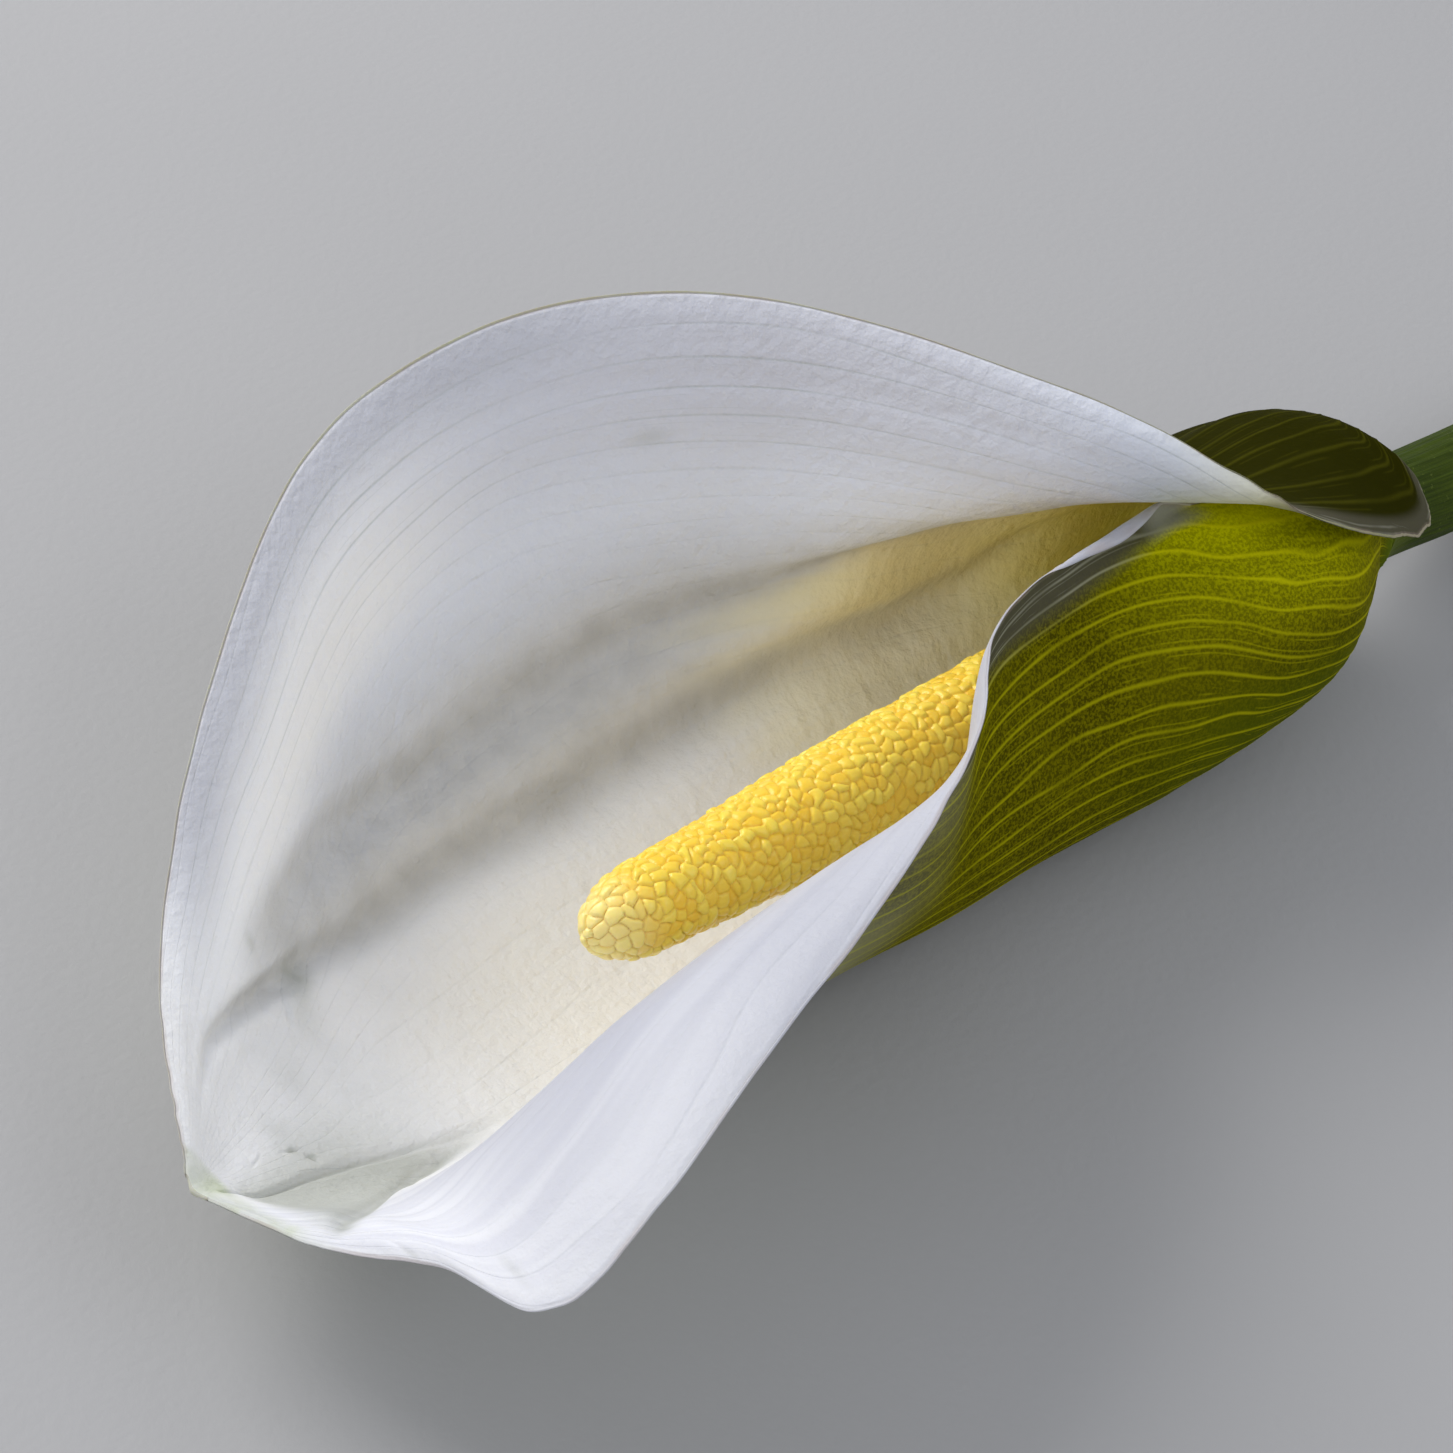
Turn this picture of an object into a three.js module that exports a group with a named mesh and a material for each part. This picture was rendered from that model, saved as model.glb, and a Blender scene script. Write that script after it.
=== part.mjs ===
// Arum lily flower, lying on its belly: one rolled spathe, its spadix and a cut stem.
// Millimetres, +Z up. The flower lies along X: mouth towards -X, cut end of the stem towards +X.
import * as THREE from 'three';

// ---- driving dimensions ------------------------------------------------------------------
const TUBE_BASE_HEIGHT = 16.8;      // centre of the tube's closed end above the table
const AXIS_TILT_DEG = 4.5;          // the tube's axis rises this much towards the mouth
const SHEET_THICK = 1.2;            // spathe near its midrib
const EDGE_THICK = 0.8;             // spathe at its margin
const SEAT_GAP = 0.3;               // play where two pieces meet
const STEM_RADIUS = 5.4;            // just below the flower
const STEM_END_RADIUS = 6.0;        // at the cut end
const STEM_LENGTH = 128;            // from the flower to the cut, measured along X
const STEM_DROP_LENGTH = 60;        // stretch over which the stem comes down to the table
const STEM_SLOPE_DEG = 20;          // how steeply it leaves the flower
const STEM_SIDE_SWEEP = -12;        // sideways reach of its gentle bend at the cut end
const NECK_SIDE = -2.5;             // the stem meets the tube this far to the near side
const NECK_DROP = 2.5;              // and this far below the tube's axis
const NECK_FADE = 35;               // stretch of the spadix that leans over to the neck
const CORE_RADIUS = 4.4;            // top of the stem, held inside the tube's base
const CORE_LENGTH = 3;
const SPADIX_RADIUS = 5.45;         // without its florets
const SPADIX_TIP_RADIUS = 4.05;
const SPADIX_END = 114.4;           // tip, from the tube's closed end
const FEMALE_RADIUS = 4.7;
const FEMALE_END = 20;              // the pale green florets stop here
const MALE_FLORET_HEIGHT = 0.55;
const FEMALE_FLORET_HEIGHT = 0.8;

// ---- the spathe's sheet ------------------------------------------------------------------
// Stations from the tube's closed end to the tip. Each one is a line across the sheet, from
// the midrib to the near margin and to the far margin. Positions are [t, l, h]: t along the
// tube's axis from its closed end, l to the far side, h towards the notch on top.
//   mid    the midrib
//   sweep  how far the sheet leaves the midrib level before it curves up
//   side   [l, h] that the side wall is drawn towards
//   edge   the margin
//   lip    direction in which the sheet runs out at the margin, and pull, how strongly
const STATIONS = [
  {
    mid: [0, -2.5, -8.7],
    near: { sweep: 6, side: [-10.5, -2.5], edge: [0, -3.3, 2.9], lip: [0, 1, 0], pull: 6 },
    far: { sweep: 6.6, side: [6.3, -2.2], edge: [0, -4.5, 4.8], lip: [0, -1, 0], pull: 6.8 },
  },
  {
    mid: [4.4, 0, -11],
    near: { sweep: 9.4, side: [-12.4, -0.9], edge: [3.5, -1, 8.3], lip: [0, 1, 0], pull: 7.5 },
    far: { sweep: 11, side: [15.5, 3], edge: [1.5, -9, 9.5], lip: [-0.2, -0.9, -0.4], pull: 13 },
  },
  {
    mid: [9.8, 0, -14.6],
    near: { sweep: 13, side: [-17.3, -1.4], edge: [8, -1, 10.3], lip: [0, 1, 0], pull: 10.5 },
    far: { sweep: 14.5, side: [20.5, 7], edge: [3.8, -14.4, 7], lip: [-0.2, -0.8, -0.6], pull: 22.5 },
  },
  {
    mid: [17, 0, -17],
    near: { sweep: 16.2, side: [-22, -1], edge: [17, -1, 11.4], lip: [0, 1, 0], pull: 14.6 },
    far: { sweep: 17, side: [24, 7], edge: [12.5, -15, 9.5], lip: [-0.1, -0.85, -0.5], pull: 22 },
  },
  {
    mid: [29, 0, -18.5],
    near: { sweep: 17.4, side: [-23, -0.6], edge: [27, -1.5, 12.3], lip: [0, 1, 0.1], pull: 12 },
    far: { sweep: 19, side: [29, 8], edge: [27.5, -12.5, 18], lip: [-0.1, -1, 0.2], pull: 10 },
  },
  {
    mid: [43, 1, -20.2],
    near: { sweep: 17.8, side: [-24.6, 1.6], edge: [36.5, 0.5, 13], lip: [0, 0.8, 0.3], pull: 7 },
    far: { sweep: 24, side: [42, 6], edge: [36, -9, 24], lip: [0, 0.5, 0.85], pull: 8 },
  },
  {
    mid: [58, 2, -21.5],
    near: { sweep: 16, side: [-22, -1], edge: [50, -1.2, 16], lip: [0, 0.2, 0.9], pull: 9 },
    far: { sweep: 30, side: [44, 4], edge: [46.5, 5, 30], lip: [0, 0.93, 0.37], pull: 21.5 },
  },
  {
    mid: [73, 3, -22.8],
    near: { sweep: 15, side: [-21, -3], edge: [68, -5.5, 18], lip: [0, -0.1, 1], pull: 12 },
    far: { sweep: 30, side: [56, -8], edge: [57.5, 38.5, 26], lip: [0, 0.85, 0.5], pull: 22 },
  },
  {
    mid: [89, 4, -23.8],
    near: { sweep: 10, side: [-19.4, -6.3], edge: [80.5, -14.5, 17], lip: [0, -0.22, 0.975], pull: 12.3 },
    far: { sweep: 30, side: [59, -12], edge: [75.4, 56.5, 19.4], lip: [0, 0.75, 0.65], pull: 20 },
  },
  {
    mid: [105, 4.5, -24.3],
    near: { sweep: 9, side: [-15.5, -15], edge: [98.5, -22, 16], lip: [0, -1, 0.233], pull: 17.4 },
    far: { sweep: 29, side: [50, -18], edge: [98.8, 58.7, 11.2], lip: [0, 0.85, 0.45], pull: 19 },
  },
  {
    mid: [121, 4, -24],
    near: { sweep: 8, side: [-13.3, -15.2], edge: [121.5, -28.5, 14], lip: [0, -1, 0.117], pull: 26.5 },
    far: { sweep: 22, side: [36, -20], edge: [123.6, 44, 1.7], lip: [0.2, 0.85, 0.4], pull: 15 },
  },
  {
    mid: [132, 5, -23],
    near: { sweep: 7, side: [-9, -17], edge: [140, -33, 9], lip: [0.1, -1, 0.2], pull: 28 },
    far: { sweep: 13, side: [24, -19.5], edge: [138.3, 31.5, -6.6], lip: [0.25, 0.85, 0.35], pull: 9 },
  },
  {
    mid: [142, 6, -20],
    near: { sweep: 5, side: [-5, -17], edge: [150.2, -31.5, 2], lip: [0.3, -1, 0.1], pull: 22 },
    far: { sweep: 7, side: [16.5, -17.5], edge: [146.9, 21.3, -10.4], lip: [0.3, 0.85, 0.35], pull: 5 },
  },
  {
    mid: [149.5, 6, -17],
    near: { sweep: 3, side: [0, -16], edge: [150.5, -19.5, -3.5], lip: [0.15, -1, 0.1], pull: 10.5 },
    far: { sweep: 3.5, side: [11.5, -15.5], edge: [151.4, 14.2, -11.3], lip: [0.35, 0.8, 0.35], pull: 3 },
  },
  {
    mid: [152, 6.5, -15.3],
    near: { sweep: 1, side: [3, -14.8], edge: [153.5, -7.5, -9.5], lip: [0.1, -1, 0.2], pull: 4 },
    far: { sweep: 1.5, side: [9.2, -14], edge: [153.5, 10.3, -12.3], lip: [0.4, 0.8, 0.3], pull: 1.5 },
  },
  {
    mid: [155.4, 6.5, -13.6],
    near: { sweep: 0.4, side: [5.6, -13.5], edge: [155.2, 4.8, -13.2], lip: [0.2, -1, 0.1], pull: 0.4 },
    far: { sweep: 0.4, side: [7.4, -13.5], edge: [154.9, 8.2, -13.2], lip: [0.2, 1, 0.1], pull: 0.4 },
  },
];

const SHEET_COLUMNS = 30;           // facets across the sheet, margin to margin
const SHEET_ROWS = 52;              // facets along it
const AXIS_TILT = THREE.MathUtils.degToRad(AXIS_TILT_DEG);

const TIP_NORMAL = new THREE.Vector3(-0.5, 0, 0.85).normalize();

const vec = (a) => new THREE.Vector3(a[0], a[1], a[2]);

// Five control points of one half of a station: side is -1 for the near half, +1 for the far.
function halfControls(station, side) {
  const half = side < 0 ? station.near : station.far;
  const mid = vec(station.mid);
  const edge = vec(half.edge);
  const foot = mid.clone().add(new THREE.Vector3(0, side * half.sweep, 0));
  const wall = new THREE.Vector3((mid.x + edge.x) / 2, half.side[0], half.side[1]);
  const rim = edge.clone().addScaledVector(vec(half.lip).normalize(), -half.pull);
  return [mid, foot, wall, rim, edge];
}

const NEAR_CONTROLS = STATIONS.map((s) => halfControls(s, -1));
const FAR_CONTROLS = STATIONS.map((s) => halfControls(s, 1));

// Smooth run of one control point through all stations, at place s between them.
function alongStations(controls, index, s) {
  const last = controls.length - 1;
  const i = Math.min(Math.floor(s), last - 1);
  const f = s - i;
  const b = controls[i][index];
  const c = controls[i + 1][index];
  const a = i > 0 ? controls[i - 1][index] : b.clone().multiplyScalar(2).sub(c);
  const d = i < last - 1 ? controls[i + 2][index] : c.clone().multiplyScalar(2).sub(b);
  const curve = (p, q, r, t) => 0.5 * (2 * q + (r - p) * f + (2 * p - 5 * q + 4 * r - t) * f * f
    + (3 * q - p - 3 * r + t) * f * f * f);
  return new THREE.Vector3(
    curve(a.x, b.x, c.x, d.x), curve(a.y, b.y, c.y, d.y), curve(a.z, b.z, c.z, d.z));
}

// Middle surface of the sheet: u from -1 (near margin) over 0 (midrib) to 1 (far margin),
// v from 0 (closed end) to 1 (tip). Returns [t, l, h] as a vector.
function sheetPoint(u, v) {
  const controls = u < 0 ? NEAR_CONTROLS : FAR_CONTROLS;
  const s = THREE.MathUtils.clamp(v, 0, 1) * (STATIONS.length - 1);
  const w = Math.abs(u);
  const weights = [(1 - w) ** 4, 4 * (1 - w) ** 3 * w, 6 * (1 - w) ** 2 * w * w,
    4 * (1 - w) * w ** 3, w ** 4];
  const point = new THREE.Vector3();
  weights.forEach((weight, k) => point.addScaledVector(alongStations(controls, k, s), weight));
  return point;
}

// Unit normal of the sheet, towards the inside of the flower. In the narrow tip it turns to
// one common direction, so that the two faces stay apart there.
function sheetNormal(u, v) {
  const e = 0.004;
  const across = sheetPoint(Math.min(u + e, 1), v).sub(sheetPoint(Math.max(u - e, -1), v));
  const along = sheetPoint(u, Math.min(v + e, 1)).sub(sheetPoint(u, Math.max(v - e, 0)));
  const normal = across.cross(along).normalize().negate();
  return normal.lerp(TIP_NORMAL, THREE.MathUtils.smoothstep(v, 0.82, 0.94)).normalize();
}

function sheetThickness(u, v) {
  const toEdge = THREE.MathUtils.smoothstep(Math.abs(u), 0.2, 1);
  const toTip = THREE.MathUtils.smoothstep(v, 0.75, 1);
  return THREE.MathUtils.lerp(SHEET_THICK, EDGE_THICK, Math.max(toEdge, toTip));
}

// [t, l, h] to the flower's own axes: x = -t, y = l, z = h.
const toLocal = (p) => new THREE.Vector3(-p.x, p.y, p.z);

// The sheet is pressed flat where it lies on the table; its inner face keeps a thickness above.
function restOnTable(p, floor) {
  const height = TUBE_BASE_HEIGHT - p.x * Math.sin(AXIS_TILT) + p.z * Math.cos(AXIS_TILT);
  if (height < floor) {
    p.z += (floor - height) / Math.cos(AXIS_TILT);
  }
  return p;
}

// Closed mesh from rings of points, all with the same count; ends are closed by flat fans.
function meshFromRings(rings) {
  const count = rings[0].length;
  const positions = [];
  rings.flat().forEach((p) => positions.push(p.x, p.y, p.z));
  const index = [];
  for (let i = 0; i < rings.length - 1; i += 1) {
    for (let j = 0; j < count; j += 1) {
      const a = i * count + j;
      const b = i * count + ((j + 1) % count);
      index.push(a, b, b + count, a, b + count, a + count);
    }
  }
  const fan = (ring, start, flip) => {
    const centre = ring.reduce((sum, p) => sum.add(p), new THREE.Vector3()).divideScalar(count);
    const c = positions.length / 3;
    positions.push(centre.x, centre.y, centre.z);
    for (let j = 0; j < count; j += 1) {
      const a = start + j;
      const b = start + ((j + 1) % count);
      index.push(...(flip ? [c, b, a] : [c, a, b]));
    }
  };
  fan(rings[0], 0, true);
  fan(rings[rings.length - 1], (rings.length - 1) * count, false);
  const geometry = new THREE.BufferGeometry();
  geometry.setAttribute('position', new THREE.Float32BufferAttribute(positions, 3));
  geometry.setIndex(index);
  geometry.computeVertexNormals();
  return geometry;
}

// ---- sub-parts ---------------------------------------------------------------------------
function makeSpathe() {
  // Two copies of the sheet, half a thickness to each side, joined along the rim.
  const columns = SHEET_COLUMNS + 1;
  const rows = SHEET_ROWS + 1;
  const inner = [];
  const outer = [];
  for (let i = 0; i < rows; i += 1) {
    for (let j = 0; j < columns; j += 1) {
      const u = (2 * j) / SHEET_COLUMNS - 1;
      const v = i / SHEET_ROWS;
      const middle = sheetPoint(u, v);
      const normal = sheetNormal(u, v);
      const half = sheetThickness(u, v) / 2;
      const top = toLocal(middle.clone().addScaledVector(normal, half));
      const under = toLocal(middle.clone().addScaledVector(normal, -half));
      inner.push(restOnTable(top, 2 * half));
      outer.push(restOnTable(under, 0));
    }
  }
  const positions = [];
  [...inner, ...outer].forEach((p) => positions.push(p.x, p.y, p.z));
  const offset = inner.length;
  const index = [];
  const quad = (a, b, c, d) => index.push(a, b, c, a, c, d);
  for (let i = 0; i < rows - 1; i += 1) {
    for (let j = 0; j < columns - 1; j += 1) {
      const a = i * columns + j;
      const b = a + 1;
      const c = b + columns;
      const d = a + columns;
      quad(a, b, c, d);
      index.push(a + offset, c + offset, b + offset, a + offset, d + offset, c + offset);
    }
  }
  const wall = (a, b) => quad(a, a + offset, b + offset, b);
  for (let j = 0; j < columns - 1; j += 1) {
    wall(j, j + 1);
    wall((rows - 1) * columns + j + 1, (rows - 1) * columns + j);
  }
  for (let i = 0; i < rows - 1; i += 1) {
    wall((i + 1) * columns, i * columns);
    wall(i * columns + columns - 1, (i + 1) * columns + columns - 1);
  }
  const geometry = new THREE.BufferGeometry();
  geometry.setAttribute('position', new THREE.Float32BufferAttribute(positions, 3));
  geometry.setIndex(index);
  geometry.computeVertexNormals();
  const material = new THREE.MeshStandardMaterial({
    color: 0xeceadf, roughness: 0.55, metalness: 0, side: THREE.DoubleSide,
  });
  const mesh = new THREE.Mesh(geometry, material);
  mesh.name = 'spathe';
  return mesh;
}

// Centre line of the spadix, sagging a little below the tube's axis in the middle.
function spadixCentre(t) {
  const sag = Math.sin((Math.PI * t) / SPADIX_END);
  const neck = 1 - THREE.MathUtils.smoothstep(t, 0, NECK_FADE);
  return new THREE.Vector3(-t, NECK_SIDE * neck - 0.9 * sag, -NECK_DROP * neck - 0.8 - 0.9 * sag);
}

// Height of staggered round-topped florets, larger than life, over the cell they stand in.
function floretRelief(row, column, rowsPerFloret, columnsPerFloret) {
  const band = Math.floor(row / rowsPerFloret);
  const shift = (band % 2) * 0.5;
  const x = (column / columnsPerFloret + shift) % 1;
  const y = (row / rowsPerFloret) % 1;
  return Math.sin(Math.PI * x) * Math.sin(Math.PI * y);
}

function makeSpadixPiece(name, start, end, radiusAt, floretHeight, florets, color) {
  const columns = florets.around * florets.split;
  const rows = florets.along * florets.split;
  const rings = [];
  for (let i = 0; i <= rows; i += 1) {
    const t = THREE.MathUtils.lerp(start, end, i / rows);
    const centre = spadixCentre(t);
    const ring = [];
    for (let j = 0; j < columns; j += 1) {
      const angle = (2 * Math.PI * j) / columns;
      const inside = i > 0 && i < rows ? 1 : 0;
      const bump = inside * floretHeight * floretRelief(i, j, florets.split, florets.split);
      const r = radiusAt(t) + bump;
      ring.push(centre.clone().add(new THREE.Vector3(0, -r * Math.cos(angle), r * Math.sin(angle))));
    }
    rings.push(ring);
  }
  const material = new THREE.MeshStandardMaterial({ color, roughness: 0.6, metalness: 0 });
  const mesh = new THREE.Mesh(meshFromRings(rings), material);
  mesh.name = name;
  return mesh;
}

function makeMaleSpadix() {
  const start = FEMALE_END + SEAT_GAP;
  const dome = 8;
  const radiusAt = (t) => {
    const taper = THREE.MathUtils.smoothstep(t, 0.65 * SPADIX_END, SPADIX_END);
    const body = THREE.MathUtils.lerp(SPADIX_RADIUS, SPADIX_TIP_RADIUS, taper);
    const k = Math.max(0, (t - (SPADIX_END - dome)) / dome);
    return body * Math.sqrt(Math.max(0.02, 1 - k ** 2.1));
  };
  const florets = { around: 10, along: 24, split: 3 };
  return makeSpadixPiece('spadix_male_florets', start, SPADIX_END, radiusAt,
    MALE_FLORET_HEIGHT, florets, 0xf2cf55);
}

function makeFemaleSpadix() {
  const start = CORE_LENGTH + SEAT_GAP;
  const radiusAt = () => FEMALE_RADIUS;
  const florets = { around: 8, along: 4, split: 3 };
  return makeSpadixPiece('spadix_female_florets', start, FEMALE_END, radiusAt,
    FEMALE_FLORET_HEIGHT, florets, 0xb9c98a);
}

// Height of the stem's centre line: it leaves the flower sloping down and comes to lie flat.
function stemHeight(x) {
  const rest = STEM_END_RADIUS - 0.2;
  const slope = -Math.tan(THREE.MathUtils.degToRad(STEM_SLOPE_DEG));
  const s = Math.min(x / STEM_DROP_LENGTH, 1);
  const start = (2 * s ** 3 - 3 * s ** 2 + 1) * (TUBE_BASE_HEIGHT - NECK_DROP);
  const lean = (s ** 3 - 2 * s ** 2 + s) * slope * STEM_DROP_LENGTH;
  return start + lean + (3 * s ** 2 - 2 * s ** 3) * rest;
}

function makeStem() {
  // A core inside the tube's base, a shoulder under its rim, and the bent stalk.
  const sides = 20;
  const rings = [];
  const addRing = (x, y, z, radius, lean) => {
    const ring = [];
    for (let j = 0; j < sides; j += 1) {
      const angle = (2 * Math.PI * (j + 0.5)) / sides;
      const p = new THREE.Vector3(0, radius * Math.cos(angle), radius * Math.sin(angle));
      p.applyAxisAngle(new THREE.Vector3(0, 1, 0), lean);
      p.add(new THREE.Vector3(x, y, z));
      p.z = Math.max(p.z, 0);
      ring.push(p);
    }
    rings.push(ring);
  };
  const rise = Math.sin(AXIS_TILT);
  [-CORE_LENGTH, -CORE_LENGTH / 2, -SEAT_GAP / 2].forEach((x) => {
    addRing(x, NECK_SIDE, TUBE_BASE_HEIGHT - NECK_DROP - x * rise - 0.6, CORE_RADIUS, AXIS_TILT);
  });
  const shoulder = 0.5 + SEAT_GAP;
  const steps = 22;
  for (let i = 0; i <= steps; i += 1) {
    const x = THREE.MathUtils.lerp(shoulder, STEM_LENGTH, i / steps);
    const s = x / STEM_LENGTH;
    const radius = THREE.MathUtils.lerp(STEM_RADIUS, STEM_END_RADIUS, s);
    const lean = Math.atan(stemHeight(x) - stemHeight(x + 1));
    addRing(x, NECK_SIDE + STEM_SIDE_SWEEP * s * s, stemHeight(x), radius, lean);
  }
  const material = new THREE.MeshStandardMaterial({ color: 0x3f5a1c, roughness: 0.5, metalness: 0 });
  const mesh = new THREE.Mesh(meshFromRings(rings), material);
  mesh.name = 'stem';
  return mesh;
}

// ---- assembly ----------------------------------------------------------------------------
const bloom = new THREE.Group();
bloom.add(makeSpathe(), makeMaleSpadix(), makeFemaleSpadix());
bloom.rotation.y = AXIS_TILT;
bloom.position.z = TUBE_BASE_HEIGHT;

const flower = new THREE.Group();
flower.add(bloom, makeStem());

// The origin goes under the middle of the whole flower, on the table.
flower.updateMatrixWorld(true);
const middle = new THREE.Box3().setFromObject(flower, true).getCenter(new THREE.Vector3());
flower.children.forEach((piece) => {
  piece.position.x -= middle.x;
  piece.position.y -= middle.y;
});
flower.updateMatrixWorld(true);

export default flower;
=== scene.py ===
import math

import bpy
import numpy as np
from mathutils import Matrix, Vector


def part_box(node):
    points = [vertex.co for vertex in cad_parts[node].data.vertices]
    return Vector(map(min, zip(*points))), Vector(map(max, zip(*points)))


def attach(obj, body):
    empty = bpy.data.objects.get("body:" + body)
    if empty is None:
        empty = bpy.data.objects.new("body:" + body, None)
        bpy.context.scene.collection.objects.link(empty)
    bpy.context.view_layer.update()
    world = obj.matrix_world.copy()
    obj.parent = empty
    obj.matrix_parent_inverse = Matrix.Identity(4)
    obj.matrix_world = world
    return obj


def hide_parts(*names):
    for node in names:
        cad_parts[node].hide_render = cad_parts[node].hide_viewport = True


# Arum lily flower lying on its belly. The forms below are worked out in millimetres in the
# flower's own axes [t, l, h]: t along the tube from its closed end to the mouth, l towards the
# wide side, h towards the notch on top. to_frame() turns them into the shared frame, in metres.

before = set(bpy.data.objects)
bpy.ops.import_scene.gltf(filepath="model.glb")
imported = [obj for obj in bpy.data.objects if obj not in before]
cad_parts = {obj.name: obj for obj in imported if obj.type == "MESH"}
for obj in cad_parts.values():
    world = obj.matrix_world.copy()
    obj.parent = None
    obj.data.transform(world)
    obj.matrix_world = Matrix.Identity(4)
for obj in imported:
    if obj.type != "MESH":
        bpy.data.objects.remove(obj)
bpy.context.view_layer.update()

MM = 0.001
SEAT_GAP = 0.3                      # between pieces that meet
TUBE_BASE_HEIGHT = 16.8             # of the tube's closed end above the floor
AXIS_TILT = math.radians(4.5)       # the tube rises towards the mouth

SHEET_THICK = 1.1
EDGE_THICK = 0.62
SLOPE_STEP = 0.002                  # of u and v, for the sheet's slopes
SHEET_COLUMNS = 341
SHEET_ROWS = 471
COLUMN_CROWDING = 1.12              # columns lie closer together towards the margins
CURL_RADIUS = 1.8                   # of the near margin's roll above the throat
CURL_ANGLE = 2.3

STEM_RADIUS = 5.4
STEM_END_RADIUS = 6.0
STEM_LENGTH = 128.0
STEM_DROP_LENGTH = 60.0
STEM_SLOPE = math.radians(20)
STEM_SIDE_SWEEP = -12.0
STEM_SHOULDER = 0.5 + SEAT_GAP      # where the stalk's full thickness begins
STEM_AROUND = 160
STEM_STEPS = 420
CORE_RADIUS = 4.4                   # of the stalk's plug inside the tube's closed end
CORE_LENGTH = 3.0
CORE_DROP = 0.6
NECK_SIDE = -2.5                    # the stalk meets the tube a little off its middle
NECK_DROP = 2.5
NECK_FADE = 35.0

SPADIX_RADIUS = 5.45
SPADIX_TIP_RADIUS = 4.05
SPADIX_END = 114.4
SPADIX_DROP = 0.8
SPADIX_SAG = 0.9
SPADIX_CAP = 8.0                    # length of the round tip
FEMALE_RADIUS = 4.7
FEMALE_END = 20.0
FLORET_STEP = 0.125                 # between rings of points

LOOK_UNIT = 0.01                    # the looks get t in units of 100 mm

AX = np.array([-math.cos(AXIS_TILT), 0.0, math.sin(AXIS_TILT)])
LAT = np.array([0.0, 1.0, 0.0])
TOP = np.array([math.sin(AXIS_TILT), 0.0, math.cos(AXIS_TILT)])

# The stem's cut end is the part's highest x, and its shoulder reaches furthest in y, which
# gives where the tube's closed end lies.
stem_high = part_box("stem")[1]
shoulder_share = STEM_SHOULDER / STEM_LENGTH
shoulder_radius = STEM_RADIUS + (STEM_END_RADIUS - STEM_RADIUS) * shoulder_share
shoulder_middle = NECK_SIDE + STEM_SIDE_SWEEP * shoulder_share ** 2
CAD_STEM_SIDES = 20
stem_side_reach = shoulder_middle + shoulder_radius * math.cos(math.pi / CAD_STEM_SIDES)
BASE = np.array([stem_high[0] / MM - STEM_LENGTH, stem_high[1] / MM - stem_side_reach,
                 TUBE_BASE_HEIGHT])

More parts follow.
